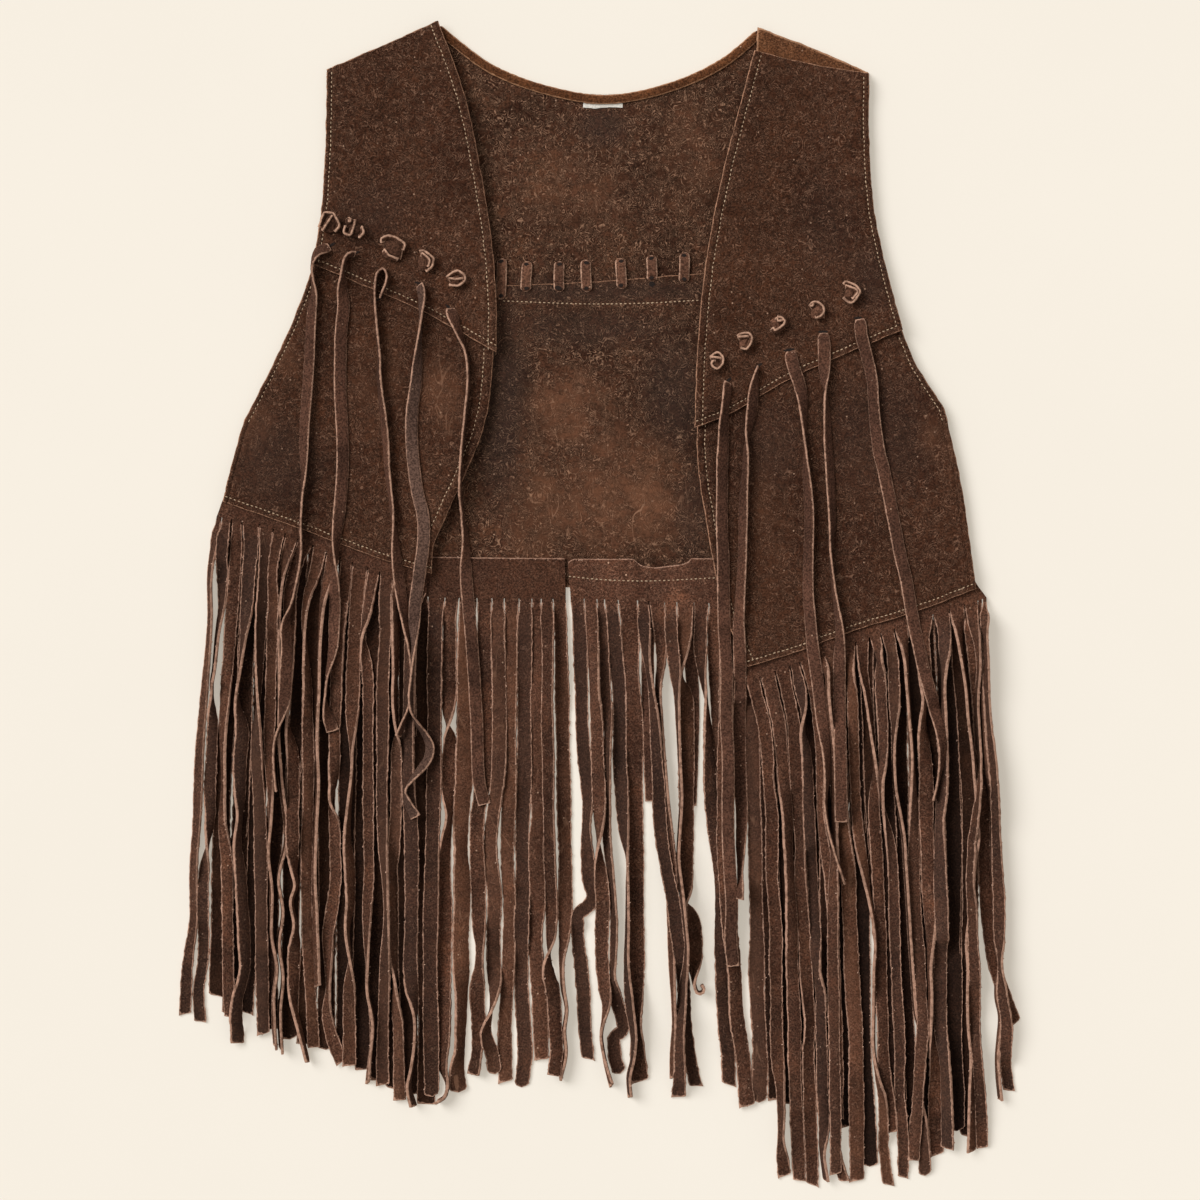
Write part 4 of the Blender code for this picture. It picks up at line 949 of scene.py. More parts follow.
def plan_of(cut):
    """A panel's points in plan, filled in between its four edges, and its edges as fine lines."""
    sides = ("top", "bottom", "left", "right")
    lines = {side: wobbled(edge_line(getattr(cut, side))) for side in sides}
    u = graded(0.5 * (length_of(lines["top"]) + length_of(lines["bottom"])))
    v = graded(0.5 * (length_of(lines["left"]) + length_of(lines["right"])))
    top, bottom = at_shares(lines["top"], u), at_shares(lines["bottom"], u)
    left, right = at_shares(lines["left"], v), at_shares(lines["right"], v)
    u, v = u[None, :, None], v[:, None, None]
    level = (1 - u) * left[:, None] + u * right[:, None]
    down = (1 - v) * top[None] + v * bottom[None]
    corners = (1 - v) * ((1 - u) * top[0] + u * top[-1]) + v * ((1 - u) * bottom[0] + u * bottom[-1])
    return level + down - corners, lines


def outline_of(plan):
    return np.concatenate([plan[0], plan[1:, -1], plan[-1, -2::-1], plan[-2:0:-1, 0]])


def area_of(plan):
    line = outline_of(plan)
    after = np.roll(line, -1, axis=0)
    return 0.5 * abs(float(np.sum(line[:, 0] * after[:, 1] - line[:, 1] * after[:, 0])))


def turned_edge(gap, seam, puff):
    """Rise of a turned edge over its panel, with the trough that its stitches pull."""
    rise = puff * np.sin(np.pi * np.clip(gap / seam, 0, 1)) ** 0.8
    rise -= TROUGH * np.exp(-(((gap - seam) / TROUGH_WIDTH) ** 2))
    return rise + SWELL * np.exp(-(((gap - seam - SWELL_IN) / SWELL_WIDTH) ** 2))


Laid = namedtuple("Laid", "piece area stitch_lines")


def lay_panel(pile, name):
    """A cut panel laid on the pile, with its loose edges standing off what lies below."""
    cut = PANELS[name]
    plan, lines = plan_of(cut)
    rows, columns = plan.shape[0] - 1, plan.shape[1] - 1
    quads = grid_quads(rows, columns)
    flat = plan.reshape(-1, 2)
    gaps = {side: distance_to(flat, line) for side, line in lines.items()}
    nearest = np.min(list(gaps.values()), axis=0)
    down = np.repeat(np.linspace(0, 1, rows + 1), columns + 1)
    swing = np.sin(np.pi * (0.12 + 0.76 * down))
    rise = cut.lift_left * ease(1 - gaps["left"] / LIFT_REACH) * swing
    rise += cut.lift_right * ease(1 - gaps["right"] / LIFT_REACH) * swing
    rise += ripple(flat, name, cut.uneven) * ease(nearest / CALM_EDGE)
    under = pile.drape(plan).ravel() + rise
    top = under + cut.wall
    for side, seam, _, _ in cut.seams:
        part = turned_edge(gaps[side], seam, EDGE_PUFF if side in cut.puffed else 0.0)
        top = top + np.where(gaps[side] < seam + SEAM_REACH, part, 0.0)
    low, high = np.column_stack([flat, under]), np.column_stack([flat, top])
    rng = np.random.default_rng(len(name) + 7 * len(flat))
    points, faces, rim = closed_wall(low, high, quads, rng)
    pile.cover(high, quads)
    everywhere = np.concatenate([flat, flat, flat[rim]])
    marks = {
        "edge_mm": np.concatenate([nearest + 0.1, nearest + 0.1, np.zeros(len(rim))]),
        "worn": patch_values(everywhere, WORN.get(name, ())),
        "greyed": patch_values(everywhere, GREYED_AND_SHADED.get(name, ())),
    }
    piece = add_piece(name + "_suede", points, faces, cut.finish, marks)
    sewn = []
    for side, seam, first, last in cut.seams:
        line = at_shares(lines[side], np.linspace(first, last, int(length_of(lines[side]) / 2)))
        inward = -across(line)
        if np.sum((flat.mean(axis=0) - line) * inward) < 0:
            inward = -inward
        sewn.append(pile.on_top(line + inward * seam))
    return Laid(piece, area_of(plan), sewn)


def strand_rest(pile, path, width, turn, wall, before=None, root=None):
    """Height of a strand's centre along its path. A strand with a root starts at that height."""
    side = across(path)
    half = SINK * (0.5 * width * np.abs(np.cos(turn)) + 0.5 * wall * np.abs(np.sin(turn)))[:, None]
    low, high = path - side * half, path + side * half
    reach = 0.5 * width * np.abs(np.sin(turn)) + 0.5 * wall * np.abs(np.cos(turn))
    lean = 0.5 * width * LEAN * np.abs(np.sin(turn)) + 0.5 * wall * np.abs(np.cos(turn))
    need = np.zeros(len(path))
    for k in range(len(path) - 1):
        ground = before if k == 0 and before else pile
        below = ground.under(np.array([low[k], low[k + 1], high[k + 1], high[k]]))
        need[k] = max(need[k], below)
        need[k + 1] = max(need[k + 1], below)
    need = np.maximum(need + 0.1 + lean, 0.1 + reach)
    if root is not None:
        need[0] = root
    height = need.copy()
    for _ in range(STRAND_ROUNDS):
        wide = np.pad(height, 1, mode="edge")
        height = np.maximum(need, 0.5 * height + 0.25 * (wide[:-2] + wide[2:]))
        if root is not None:
            height[0] = root
    return height


def strand_hull(pile, path, width, turn, height, wall):
    """Lays a strand's plain shape on the pile, a little narrower, as what lies on it presses it down."""
    side = across(path)
    width = width * HULL
    cos, sin = np.cos(turn), np.sin(turn)
    rings = []
    for u, v in ((-1, -1), (1, -1), (1, 1), (-1, 1)):
        level = path + side * (0.5 * u * width * cos - 0.5 * v * wall * sin)[:, None]
        rings.append(np.column_stack([level, height + 0.5 * u * width * sin + 0.5 * v * wall * cos]))
    points = np.stack(rings, axis=1).reshape(-1, 3)
    faces = [
        (4 * k + i, 4 * k + 4 + i, 4 * k + 4 + (i + 1) % 4, 4 * k + (i + 1) % 4)
        for k in range(len(path) - 1)
        for i in range(4)
    ]
    pile.cover(points, faces)


Strand = namedtuple("Strand", "path width turn tone worn greyed slant point")


def strip_of(fringe):
    """A fringe's band in plan, from its top edge to its root, with five points to a strand."""
    roots, tops = np.array(fringe.root, float), np.array(fringe.top, float)
    x = []
    for first, second in zip(fringe.cuts, fringe.cuts[1:]):
        left, right = first + 0.5 * SLIT, second - 0.5 * SLIT
        inset = min(EDGE_INSET, 0.25 * (right - left))
        x += [left, left + inset, 0.5 * (left + right), right - inset, right]
    x = np.array(x)
    share = (x - x[0]) / (x[-1] - x[0])
    top_x = tops[0, 0] + share * (tops[-1, 0] - tops[0, 0])
    top = np.column_stack([top_x, np.interp(top_x, tops[:, 0], tops[:, 1])])
    root = np.column_stack([x, np.interp(x, roots[:, 0], roots[:, 1])])
    return np.stack([top * (1 - v) + root * v for v in BAND_STEPS])


def plan_strand(fringe, number, base, rng):
    """A strand's run from the middle of its root to its tip, its width and its looks."""
    places = with_turns(fringe.runs[number])
    x, y = base[2]
    run = [(x, y, 0.0), *places]
    single = len(places) == 1
    if single:
        tip_x, tip_y, _ = places[0]
        for down in (0.25, 0.5, 0.75):
            aside = rng.uniform(-2, 2)
            run.insert(-1, (x + (tip_x - x) * down + aside, y + (tip_y - y) * down, rng.uniform(-12, 12)))
    line = smooth_line(run, STATION)
    hidden = single or number in fringe.covered
    at_root = base[4][0] - base[0][0]
    full = HIDDEN_WIDTH if hidden else np.clip(at_root, *fringe.widths) + rng.uniform(-0.5, 0.5)
    s = np.arange(len(line)) * STATION
    width = at_root + (full - at_root) * ease(s / ROOT_FADE)
    width = width * (1 + 0.05 * np.sin(s / rng.uniform(9, 14) + rng.uniform(0, 6)))
    width = np.minimum(width, 1.1 * full)
    # Hidden strands take the dark tone of painted shade; the others get a random tone of the hide.
    tone = HIDDEN_SHADE if hidden else rng.uniform(-1.4, 1.4)
    worn, greyed = max(rng.uniform(-0.5, 0.5), 0.0), max(rng.uniform(-0.4, 0.9), 0.0)
    slant, point = rng.uniform(-1, 1), rng.random()
    return Strand(line[:, :2], width, np.radians(line[:, 2]), tone, worn, greyed, slant, point)


def sweep_strand(strand, height, nick, root_low, root_high):
    """The two faces of a strand in rows of five points, led out of its root, and the gaps to its edges."""
    up = np.array([0.0, 0.0, 1.0])
    level = np.column_stack([across(strand.path), np.zeros(len(strand.path))])
    cos, sin = np.cos(strand.turn)[:, None], np.sin(strand.turn)[:, None]
    face = level * cos + up * sin
    out = up * cos - level * sin
    centre = np.column_stack([strand.path, height])
    along = unit(np.gradient(centre, axis=0))
    half = 0.5 * strand.width
    inner = half - np.minimum(EDGE_INSET, 0.5 * half)
    offsets = np.stack([-half + nick[0], -inner, 0 * half, inner, half + nick[1]], axis=1)
    cup = CUP * np.array([0.0, 0.6, 1.0, 0.6, 0.0])[None, :] * (1 if strand.tone > 0 else -1)
    rows = centre[:, None] + face[:, None] * offsets[..., None] + out[:, None] * cup[..., None]
    places = np.linspace(-1, 1, ACROSS)
    end = places * SLANT * strand.slant - (POINT * np.abs(places) if strand.point > 0.75 else 0.0)
    rows[-1] += along[-1][None] * end[:, None]
    rows[-2] += along[-2][None] * end[:, None] * 0.4
    thick = 0.5 * STRAND_WALL * out[:, None]
    low, high = rows - thick, rows + thick
    for k in range(1, ROOT_ROWS):
        share = float(ease(k / ROOT_ROWS))
        shift = centre[k] - centre[0]
        low[k] = (1 - share) * (root_low + shift) + share * low[k]
        high[k] = (1 - share) * (root_high + shift) + share * high[k]
    to_side = np.stack([0 * half, half - inner, half, half - inner, 0 * half], axis=1)
    to_tip = (np.arange(len(centre))[::-1] * STATION)[:, None]
    return low[1:].reshape(-1, 3), high[1:].reshape(-1, 3), np.minimum(to_side, to_tip)[1:].ravel()


def lay_fringe(pile, name):
    """A strip slit into strands, which are one with it at their roots. Every second strand lies on top."""
    fringe = FRINGES[name]
    rng = random.Random(fringe.seed)
    ragged = np.random.default_rng(fringe.seed)
    strip = strip_of(fringe)
    count = len(fringe.runs)
    before = copy.deepcopy(pile)
    low = [np.column_stack([strip.reshape(-1, 2), pile.drape(strip).ravel()])]
    high = [low[0] + (0.0, 0.0, STRAND_WALL)]
    quads = [grid_quads(len(strip) - 1, ACROSS * count - 1)]
    pile.cover(high[0], quads[0])
    edges = [np.linalg.norm(strip - strip[:1], axis=2).ravel()]
    used = len(edges[0])
    tones = [np.full(used, fringe.band_tone)]
    worn, greyed = [np.zeros(used)], [np.zeros(used)]
    area = area_of(strip)
    last_row = used - ACROSS * count
    bases = strip[-1].reshape(count, ACROSS, 2)
    strands = [plan_strand(fringe, i, bases[i], rng) for i in range(count)]
    for i in [*range(0, count, 2), *range(1, count, 2)]:
        strand = strands[i]
        at = np.arange(last_row + ACROSS * i, last_row + ACROSS * (i + 1))
        root_low, root_high = low[0][at], high[0][at]
        middle = 0.5 * (root_low[2, 2] + root_high[2, 2])
        lay = (pile, strand.path, strand.width, strand.turn)
        height = strand_rest(*lay, STRAND_WALL, before, middle)
        strand_hull(*lay, height, STRAND_WALL)
        nick = ragged.uniform(-NICK, NICK, (2, len(height)))
        nick[:, :3] = 0.0
        under, over, gaps = sweep_strand(strand, height, nick, root_low, root_high)
        low.append(under)
        high.append(over)
        edges.append(gaps)
        sections = len(height) - 1
        rows = used + np.arange(len(gaps)).reshape(sections, ACROSS)
        quads.append(quads_of(np.concatenate([[at], rows])))
        fade = np.repeat(ease(np.arange(1, sections + 1) / 6), ACROSS)
        tones.append(fringe.band_tone + (strand.tone - fringe.band_tone) * fade)
        worn.append(strand.worn * fade)
        greyed.append(strand.greyed * fade)
        used += len(gaps)
        area += length_of(strand.path) * float(strand.width.mean())
    low, high = np.concatenate(low), np.concatenate(high)
    low[:, 2] = np.maximum(low[:, 2], 0.02)
    high[:, 2] = np.maximum(high[:, 2], 0.05)
    jitter = np.random.default_rng(fringe.seed)
    points, faces, rim = closed_wall(low, high, np.concatenate(quads), jitter)
    points[:, 2] = np.maximum(points[:, 2], 0.02)
    edge = np.concatenate(edges) + 0.1
    marks = {"edge_mm": np.concatenate([edge, edge, np.zeros(len(rim))])}
    for label, parts in (("tone", tones), ("worn", worn), ("greyed", greyed)):
        values = np.concatenate(parts)
        marks[label] = np.concatenate([values, values, values[rim]])
    return Laid(add_piece(name + "_suede", points, faces, "suede_fringe", marks), area, [])


def new_tree(name, kind, inputs, outputs):
    """An empty node group with its named sockets, and its two ends."""
    tree = bpy.data.node_groups.new(name, kind)
    for way, sockets in (("INPUT", inputs), ("OUTPUT", outputs)):
        for label, socket in sockets.items():
            tree.interface.new_socket(label, in_out=way, socket_type="NodeSocket" + socket)
    return tree, tree.nodes.new("NodeGroupInput").outputs, tree.nodes.new("NodeGroupOutput").inputs


def node(tree, kind, inputs=(), **settings):
    """Adds a node. inputs pairs a socket, by name or number, with a value or with another node's output."""
    made = tree.nodes.new(kind)
    for key, value in settings.items():
        setattr(made, key, value)
    for key, value in dict(inputs).items():
        if isinstance(value, bpy.types.NodeSocket):
            tree.links.new(value, made.inputs[key])
        else:
            made.inputs[key].default_value = value
    return made


def put(tree, kind, inputs=(), **settings):
    """The first output of an added node."""
    return node(tree, kind, inputs, **settings).outputs[0]


def maths(tree, operation, *values):
    return put(tree, "ShaderNodeMath", enumerate(values), operation=operation)


def times(tree, a, b):
    return maths(tree, "MULTIPLY", a, b)


def blend(tree, share, a, b, kind="MIX"):
    return node(tree, "ShaderNodeMix", {0: share, 6: a, 7: b}, data_type="RGBA", blend_type=kind).outputs[2]


def shaded(tree, colour, shade):
    """A colour made lighter or darker."""
    grey = put(tree, "ShaderNodeCombineColor", {0: shade, 1: shade, 2: shade})
    return blend(tree, 1.0, colour, grey, "MULTIPLY")


def remap(tree, value, *ends):
    """A value taken smoothly from one range to another, which is 0 to 1 where only the first is given."""
    return put(tree, "ShaderNodeMapRange", enumerate((value, *ends)), interpolation_type="SMOOTHSTEP")


def noise(tree, where, scale, detail=2.0, roughness=0.5, distortion=0.0):
    return put(tree, "ShaderNodeTexNoise", dict(
        Vector=where, Scale=scale, Detail=detail, Roughness=roughness, Distortion=distortion))


def on_piece(tree):
    """Places on a piece."""
    return node(tree, "ShaderNodeTexCoord").outputs["Object"]


def mark(tree, name):
    """A value that a piece carries at its points, for its finish."""
    return node(tree, "ShaderNodeAttribute", attribute_name=name, attribute_type="GEOMETRY").outputs["Fac"]


def nap_group():
    """Suede: broad mottling, fine grain, curled fibres in clusters and a few light specks."""
    tree, given, result = new_tree(
        "suede nap", "ShaderNodeTree",
        dict(Deep="Color", Middle="Color", Warm="Color", Fibre="Color", Strength="Float"),
        dict(Colour="Color", Height="Float"))
    where = on_piece(tree)
    broad = noise(tree, where, 14.0, 3.0, 0.55, 0.6)
    patchy = noise(tree, where, 34.0, 3.0, 0.55, 0.6)
    colour = blend(tree, remap(tree, broad, 0.3, 0.62), given["Deep"], given["Middle"])
    colour = blend(tree, remap(tree, patchy, 0.48, 0.74, 0.0, 0.6), colour, given["Warm"])
    colour = blend(tree, remap(tree, patchy, 0.46, 0.26, 0.0, 0.5), colour, given["Deep"])
    fibres, hollows = [], []
    for shift, scale, pitch in (((0.0, 0.0, 0.0), 125.0, 92.0), ((1.7, 0.9, 0.3), 95.0, 120.0)):
        moved = put(tree, "ShaderNodeVectorMath", {0: where, 1: shift}, operation="ADD")
        wave = maths(tree, "SINE", times(tree, noise(tree, moved, scale, 0.4, 0.4, 1.1), pitch))
        broken = remap(tree, noise(tree, moved, 190.0, 1.5), 0.42, 0.56)
        fibres.append(times(tree, remap(tree, wave, 0.45, 0.97), broken))
        hollows.append(times(tree, remap(tree, wave, -0.3, -0.95), broken))
    fibre, hollow = maths(tree, "MAXIMUM", *fibres), maths(tree, "MAXIMUM", *hollows)
    wave = maths(tree, "SUBTRACT", fibre, times(tree, hollow, 0.7))
    colour = blend(tree, times(tree, hollow, given["Strength"]), colour, given["Deep"])
    colour = blend(tree, times(tree, fibre, given["Strength"]), colour, given["Fibre"])
    grain = noise(tree, where, 840.0, 1.0, 0.5, 0.4)
    colour = shaded(tree, colour, remap(tree, grain, 0.3, 0.7, 0.52, 1.48))
    speck = node(tree, "ShaderNodeTexVoronoi", dict(Vector=where, Scale=170.0)).outputs
    chosen = put(tree, "ShaderNodeSeparateColor", {0: speck["Color"]})
    dot = remap(tree, speck["Distance"], 0.13, 0.06)
    dot = times(tree, dot, remap(tree, chosen, 0.62, 1.0, 0.0, 0.9))
    tree.links.new(blend(tree, dot, colour, linear(186, 150, 126)), result["Colour"])
    height = maths(tree, "ADD", times(tree, wave, given["Strength"]), times(tree, grain, 0.8))
    tree.links.new(maths(tree, "ADD", height, times(tree, dot, 0.4)), result["Height"])
    return tree


def cut_group():
    """Where the raw cut edge of the hide shows: at the rim, with a ragged inner border."""
    tree, given, result = new_tree("raw cut edge", "ShaderNodeTree", dict(Reach="Float"), dict(Mask="Float"))
    rough = maths(tree, "SUBTRACT", noise(tree, on_piece(tree), 650.0, 3.0, 0.7), 0.5)
    gap = maths(tree, "ADD", mark(tree, "edge_mm"), times(tree, rough, 1.8))
    mask = remap(tree, gap, given["Reach"], times(tree, given["Reach"], 0.35))
    tree.links.new(mask, result["Mask"])
    return tree


def wear_group():
    """Scuffs: thin scratches and rubbed spots where a piece's worn mark is strong."""
    tree, _, result = new_tree("scuffs", "ShaderNodeTree", {}, dict(Rubbed="Float", Scratches="Float"))
    where = on_piece(tree)
    worn = mark(tree, "worn")
    cloud = noise(tree, where, 45.0, 5.0, 0.65, 0.5)
    tree.links.new(times(tree, worn, remap(tree, cloud, 0.35, 0.7, 0.25, 1.0)), result["Rubbed"])
    turned = put(tree, "ShaderNodeMapping", dict(
        Vector=where, Rotation=(0.0, 0.0, 0.6), Scale=(1.0, 0.25, 1.0)))
    lines = maths(tree, "SUBTRACT", noise(tree, turned, 90.0, 1.0, 0.5, 0.8), 0.5)
    thin = remap(tree, maths(tree, "ABSOLUTE", lines), 0.013, 0.004)
    broken = remap(tree, noise(tree, where, 60.0, 2.0), 0.45, 0.57)
    tree.links.new(times(tree, times(tree, thin, broken), worn), result["Scratches"])
    return tree


def new_material(name, roughness):
    """An empty finish, its tree and its shader's inputs."""
    made = bpy.data.materials.new("dressed_" + name)
    made.use_nodes = True
    inputs = made.node_tree.nodes["Principled BSDF"].inputs
    inputs["Roughness"].default_value = roughness
    return made, made.node_tree, inputs


def roughen(tree, inputs, strength, depth, height):
    """Gives a finish a fine bump, of a depth in metres."""
    values = dict(Strength=strength, Distance=depth, Height=height)
    tree.links.new(put(tree, "ShaderNodeBump", values), inputs["Normal"])


def suede_material(name):
    *colours, reach, strength = FINISHES[name]
    deep, middle, warm, fibre, cut = [linear(*colour) for colour in colours]
    made, tree, inputs = new_material(name, 0.95)
    inputs["Specular IOR Level"].default_value = 0.06
    inputs["Sheen Weight"].default_value = 0.04
    inputs["Sheen Roughness"].default_value = 0.6
    inputs["Sheen Tint"].default_value = linear(200, 160, 135)
    given = dict(Deep=deep, Middle=middle, Warm=warm, Fibre=fibre, Strength=strength)
    nap = node(tree, "ShaderNodeGroup", node_tree=GROUPS["nap"])
    for label, value in given.items():
        nap.inputs[label].default_value = value
    wear = node(tree, "ShaderNodeGroup", node_tree=GROUPS["wear"]).outputs
    rubbed = times(tree, wear["Rubbed"], 0.72)
    colour = blend(tree, rubbed, nap.outputs["Colour"], linear(128, 86, 63))
    colour = blend(tree, wear["Scratches"], colour, linear(142, 105, 83))
    # Greyed marks blend the colour toward dark grey: grey discolouration, and painted shade on the back
    # beside the left front's edge.
    colour = blend(tree, times(tree, mark(tree, "greyed"), 0.55), colour, linear(52, 42, 38))
    # The tone mark lightens or darkens the colour: random tone of the hide, and painted shade on the hidden
    # strands.
    colour = shaded(tree, colour, maths(tree, "ADD", 1.0, times(tree, mark(tree, "tone"), 0.14)))
    edge = node(tree, "ShaderNodeGroup", node_tree=GROUPS["cut"])
    edge.inputs["Reach"].default_value = reach
    mottle = remap(tree, noise(tree, on_piece(tree), 300.0, 3.0, 0.6), 0.25, 0.6)
    colour = blend(tree, edge.outputs["Mask"], colour, blend(tree, mottle, fibre, cut))
    tree.links.new(colour, inputs["Base Color"])
    roughen(tree, inputs, 0.7, 0.0006, nap.outputs["Height"])
    return made


def plain_material(name):
    """A finish of two mottled colours with a fine bump."""
    low, high, scale, roughness = PLAIN[name]
    made, tree, inputs = new_material(name, roughness)
    mottle = noise(tree, on_piece(tree), scale, 4.0, 0.6)
    colour = blend(tree, remap(tree, mottle, 0.3, 0.7), linear(*low), linear(*high))
    tree.links.new(colour, inputs["Base Color"])
    roughen(tree, inputs, 0.3, 0.0002, mottle)
    return made


def floor_material():
    """The floor, which glows a little, so that the shade on it stays pale."""
    made = plain_material("floor")
    inputs = made.node_tree.nodes["Principled BSDF"].inputs
    inputs["Emission Color"].default_value = (1.0, 0.91, 0.77, 1.0)
    inputs["Emission Strength"].default_value = 0.37
    return made


def carried(tree, name):
    """A value that a line or a piece carries at its points, for a tree."""
    return put(tree, "GeometryNodeInputNamedAttribute", dict(Name=name), data_type="FLOAT")


def keep(tree, shape, name, value):
    """Writes a value at a shape's points."""
    values = {0: shape, "Name": name, "Value": value}
    return put(tree, "GeometryNodeStoreNamedAttribute", values, data_type="FLOAT", domain="POINT")


def scattered(tree, low, high, seed):
    """Three random numbers for each point."""
    values = dict(Min=(low,) * 3, Max=(high,) * 3, Seed=seed)
    return put(tree, "FunctionNodeRandomValue", values, data_type="FLOAT_VECTOR")


def above(tree, a, b):
    return put(tree, "FunctionNodeCompare", dict(A=a, B=b), data_type="FLOAT", operation="GREATER_THAN")


def both(tree, a, b):
    return put(tree, "FunctionNodeBooleanMath", {0: a, 1: b}, operation="AND")


def upright(tree, kind):
    """The Z of each point's place or normal."""
    return node(tree, "ShaderNodeSeparateXYZ", {0: put(tree, kind)}).outputs[2]


def strew(tree, points, shape, way, low, high, seed):
    """Copies of a shape on points, each laid along its own way, in sizes between two limits."""
    turned = put(tree, "FunctionNodeAlignRotationToVector", dict(Vector=way), axis="X")
    scale = scattered(tree, low, high, seed)
    values = {0: points, "Instance": shape, "Rotation": turned, "Scale": scale}
    return put(tree, "GeometryNodeInstanceOnPoints", values)


def end_tree(tree, shape, material, result):
    """Ends a tree with its shape as one smooth mesh."""
    shape = put(tree, "GeometryNodeSetShadeSmooth", {0: shape})
    shape = put(tree, "GeometryNodeRealizeInstances", {0: shape})
    shape = put(tree, "GeometryNodeSetMaterial", {0: shape, "Material": material})
    tree.links.new(shape, result[0])
    return tree


def lace_tree():
    """A flat lace swept along a line, with rounded edges. The line carries how far the lace is turned."""
    tree, given, result = new_tree(
        "flat lace", "GeometryNodeTree",
        dict(Line="Geometry", Width="Float", Wall="Float", Ragged="Float", Seed="Int", Suede="Material"),
        dict(Lace="Geometry"))
    curve = put(tree, "GeometryNodeMeshToCurve", {0: given["Line"]})
    curve = put(tree, "GeometryNodeSetCurveNormal", dict(Curve=curve), mode="Z_UP")
    curve = put(tree, "GeometryNodeSetCurveTilt", dict(Curve=curve, Tilt=carried(tree, "turn")))
    size = dict(Width=given["Width"], Height=given["Wall"])
    section = put(tree, "GeometryNodeCurvePrimitiveQuadrilateral", size, mode="RECTANGLE")
    corner = {0: section, "Radius": times(tree, given["Wall"], 0.42), "Limit Radius": True}
    section = put(tree, "GeometryNodeFilletCurve", corner, mode="BEZIER")
    section = put(tree, "GeometryNodeResampleCurve", {0: section, "Count": 18}, mode="COUNT")
    level = put(tree, "ShaderNodeSeparateXYZ", {0: put(tree, "GeometryNodeInputPosition")})
    gap = maths(tree, "SUBTRACT", times(tree, given["Width"], 0.5), maths(tree, "ABSOLUTE", level))
    section = keep(tree, section, "side_mm", times(tree, gap, 1000.0))
    lace = put(tree, "GeometryNodeCurveToMesh", {
        "Curve": curve, "Profile Curve": section, "Scale": carried(tree, "scale"), "Fill Caps": True})
    rim = maths(tree, "MINIMUM", carried(tree, "side_mm"), carried(tree, "end_mm"))
    lace = keep(tree, lace, "edge_mm", rim)
    rough = {0: scattered(tree, -1.0, 1.0, given["Seed"]), "Scale": given["Ragged"]}
    rough = put(tree, "ShaderNodeVectorMath", rough, operation="SCALE")
    lace = put(tree, "GeometryNodeSetPosition", {0: lace, "Offset": rough})
    return end_tree(tree, lace, given["Suede"], result)


def stitch_tree():
    """Thread stitches laid one after another along a line."""
    tree, given, result = new_tree(
        "row of stitches", "GeometryNodeTree",
        dict(Line="Geometry", Pitch="Float", Length="Float", Thickness="Float", Seed="Int",
             Thread="Material"),
        dict(Stitches="Geometry"))
    curve = put(tree, "GeometryNodeMeshToCurve", {0: given["Line"]})
    curve = put(tree, "GeometryNodeResampleCurve", {0: curve, "Length": given["Pitch"]}, mode="LENGTH")
    ball = put(tree, "GeometryNodeMeshUVSphere", dict(Segments=6, Rings=4, Radius=0.5))
    low = times(tree, given["Thickness"], 0.8)
    size = put(tree, "ShaderNodeCombineXYZ", {0: given["Length"], 1: given["Thickness"], 2: low})
    stitch = put(tree, "GeometryNodeTransform", {0: ball, "Scale": size})
    sway = {0: put(tree, "GeometryNodeInputTangent"), 1: scattered(tree, -0.12, 0.12, given["Seed"])}
    way = put(tree, "ShaderNodeVectorMath", sway, operation="ADD")
    row = strew(tree, curve, stitch, way, 0.75, 1.15, given["Seed"])
    return end_tree(tree, row, given["Thread"], result)


def fibre_tree():
    """Short loose fibres that stand out of the raw cut edges of a piece."""
    tree, given, result = new_tree(
        "loose fibres", "GeometryNodeTree",
        dict(Piece="Geometry", Density="Float", Length="Float", Seed="Int", Fibre="Material"),
        dict(Fibres="Geometry"))
    at_rim = above(tree, 0.4, carried(tree, "edge_mm"))
    at_rim = both(tree, at_rim, above(tree, upright(tree, "GeometryNodeInputNormal"), -0.1))
    at_rim = both(tree, at_rim, above(tree, upright(tree, "GeometryNodeInputPosition"), given["Length"]))
    spread = put(tree, "GeometryNodeDistributePointsOnFaces", dict(
        Mesh=given["Piece"], Selection=at_rim, Density=given["Density"], Seed=given["Seed"]))
    grain = put(tree, "GeometryNodeMeshIcoSphere", dict(Radius=0.5, Subdivisions=1))
    thick = times(tree, given["Length"], 0.55)
    size = put(tree, "ShaderNodeCombineXYZ", {0: given["Length"], 1: thick, 2: thick})
    grain = put(tree, "GeometryNodeTransform", {0: grain, "Scale": size})
    way = scattered(tree, -1.0, 1.0, given["Seed"])
    row = strew(tree, spread, grain, way, 0.5, 1.3, given["Seed"])
    return end_tree(tree, row, given["Fibre"], result)


def run_tree(piece, tree, values):
    """Runs a tree on a piece and puts the plain mesh that it makes in its place."""
    mesh = piece.data
    modifier = piece.modifiers.new("grow", "NODES")
    modifier.node_group = tree
    for item in tree.interface.items_tree:
        if item.in_out == "INPUT" and item.name in values:
            modifier[item.identifier] = values[item.name]
    graph = bpy.context.evaluated_depsgraph_get()
    made = bpy.data.meshes.new_from_object(
        piece.evaluated_get(graph), preserve_all_data_layers=True, depsgraph=graph)
    piece.modifiers.clear()
    piece.data = made
    bpy.data.meshes.remove(mesh)
    made.name = piece.name
    PIECES[piece.name] = piece
    return piece


def shed(source, name, density, length, seed):
    """Loose fibres along a finished piece's cut edges."""
    values = dict(Density=density, Length=length * MM, Seed=seed, Fibre=MATERIALS["fibre"])
    return run_tree(show(name + "_fibres", source.data.copy()), TREES["fibres"], values)


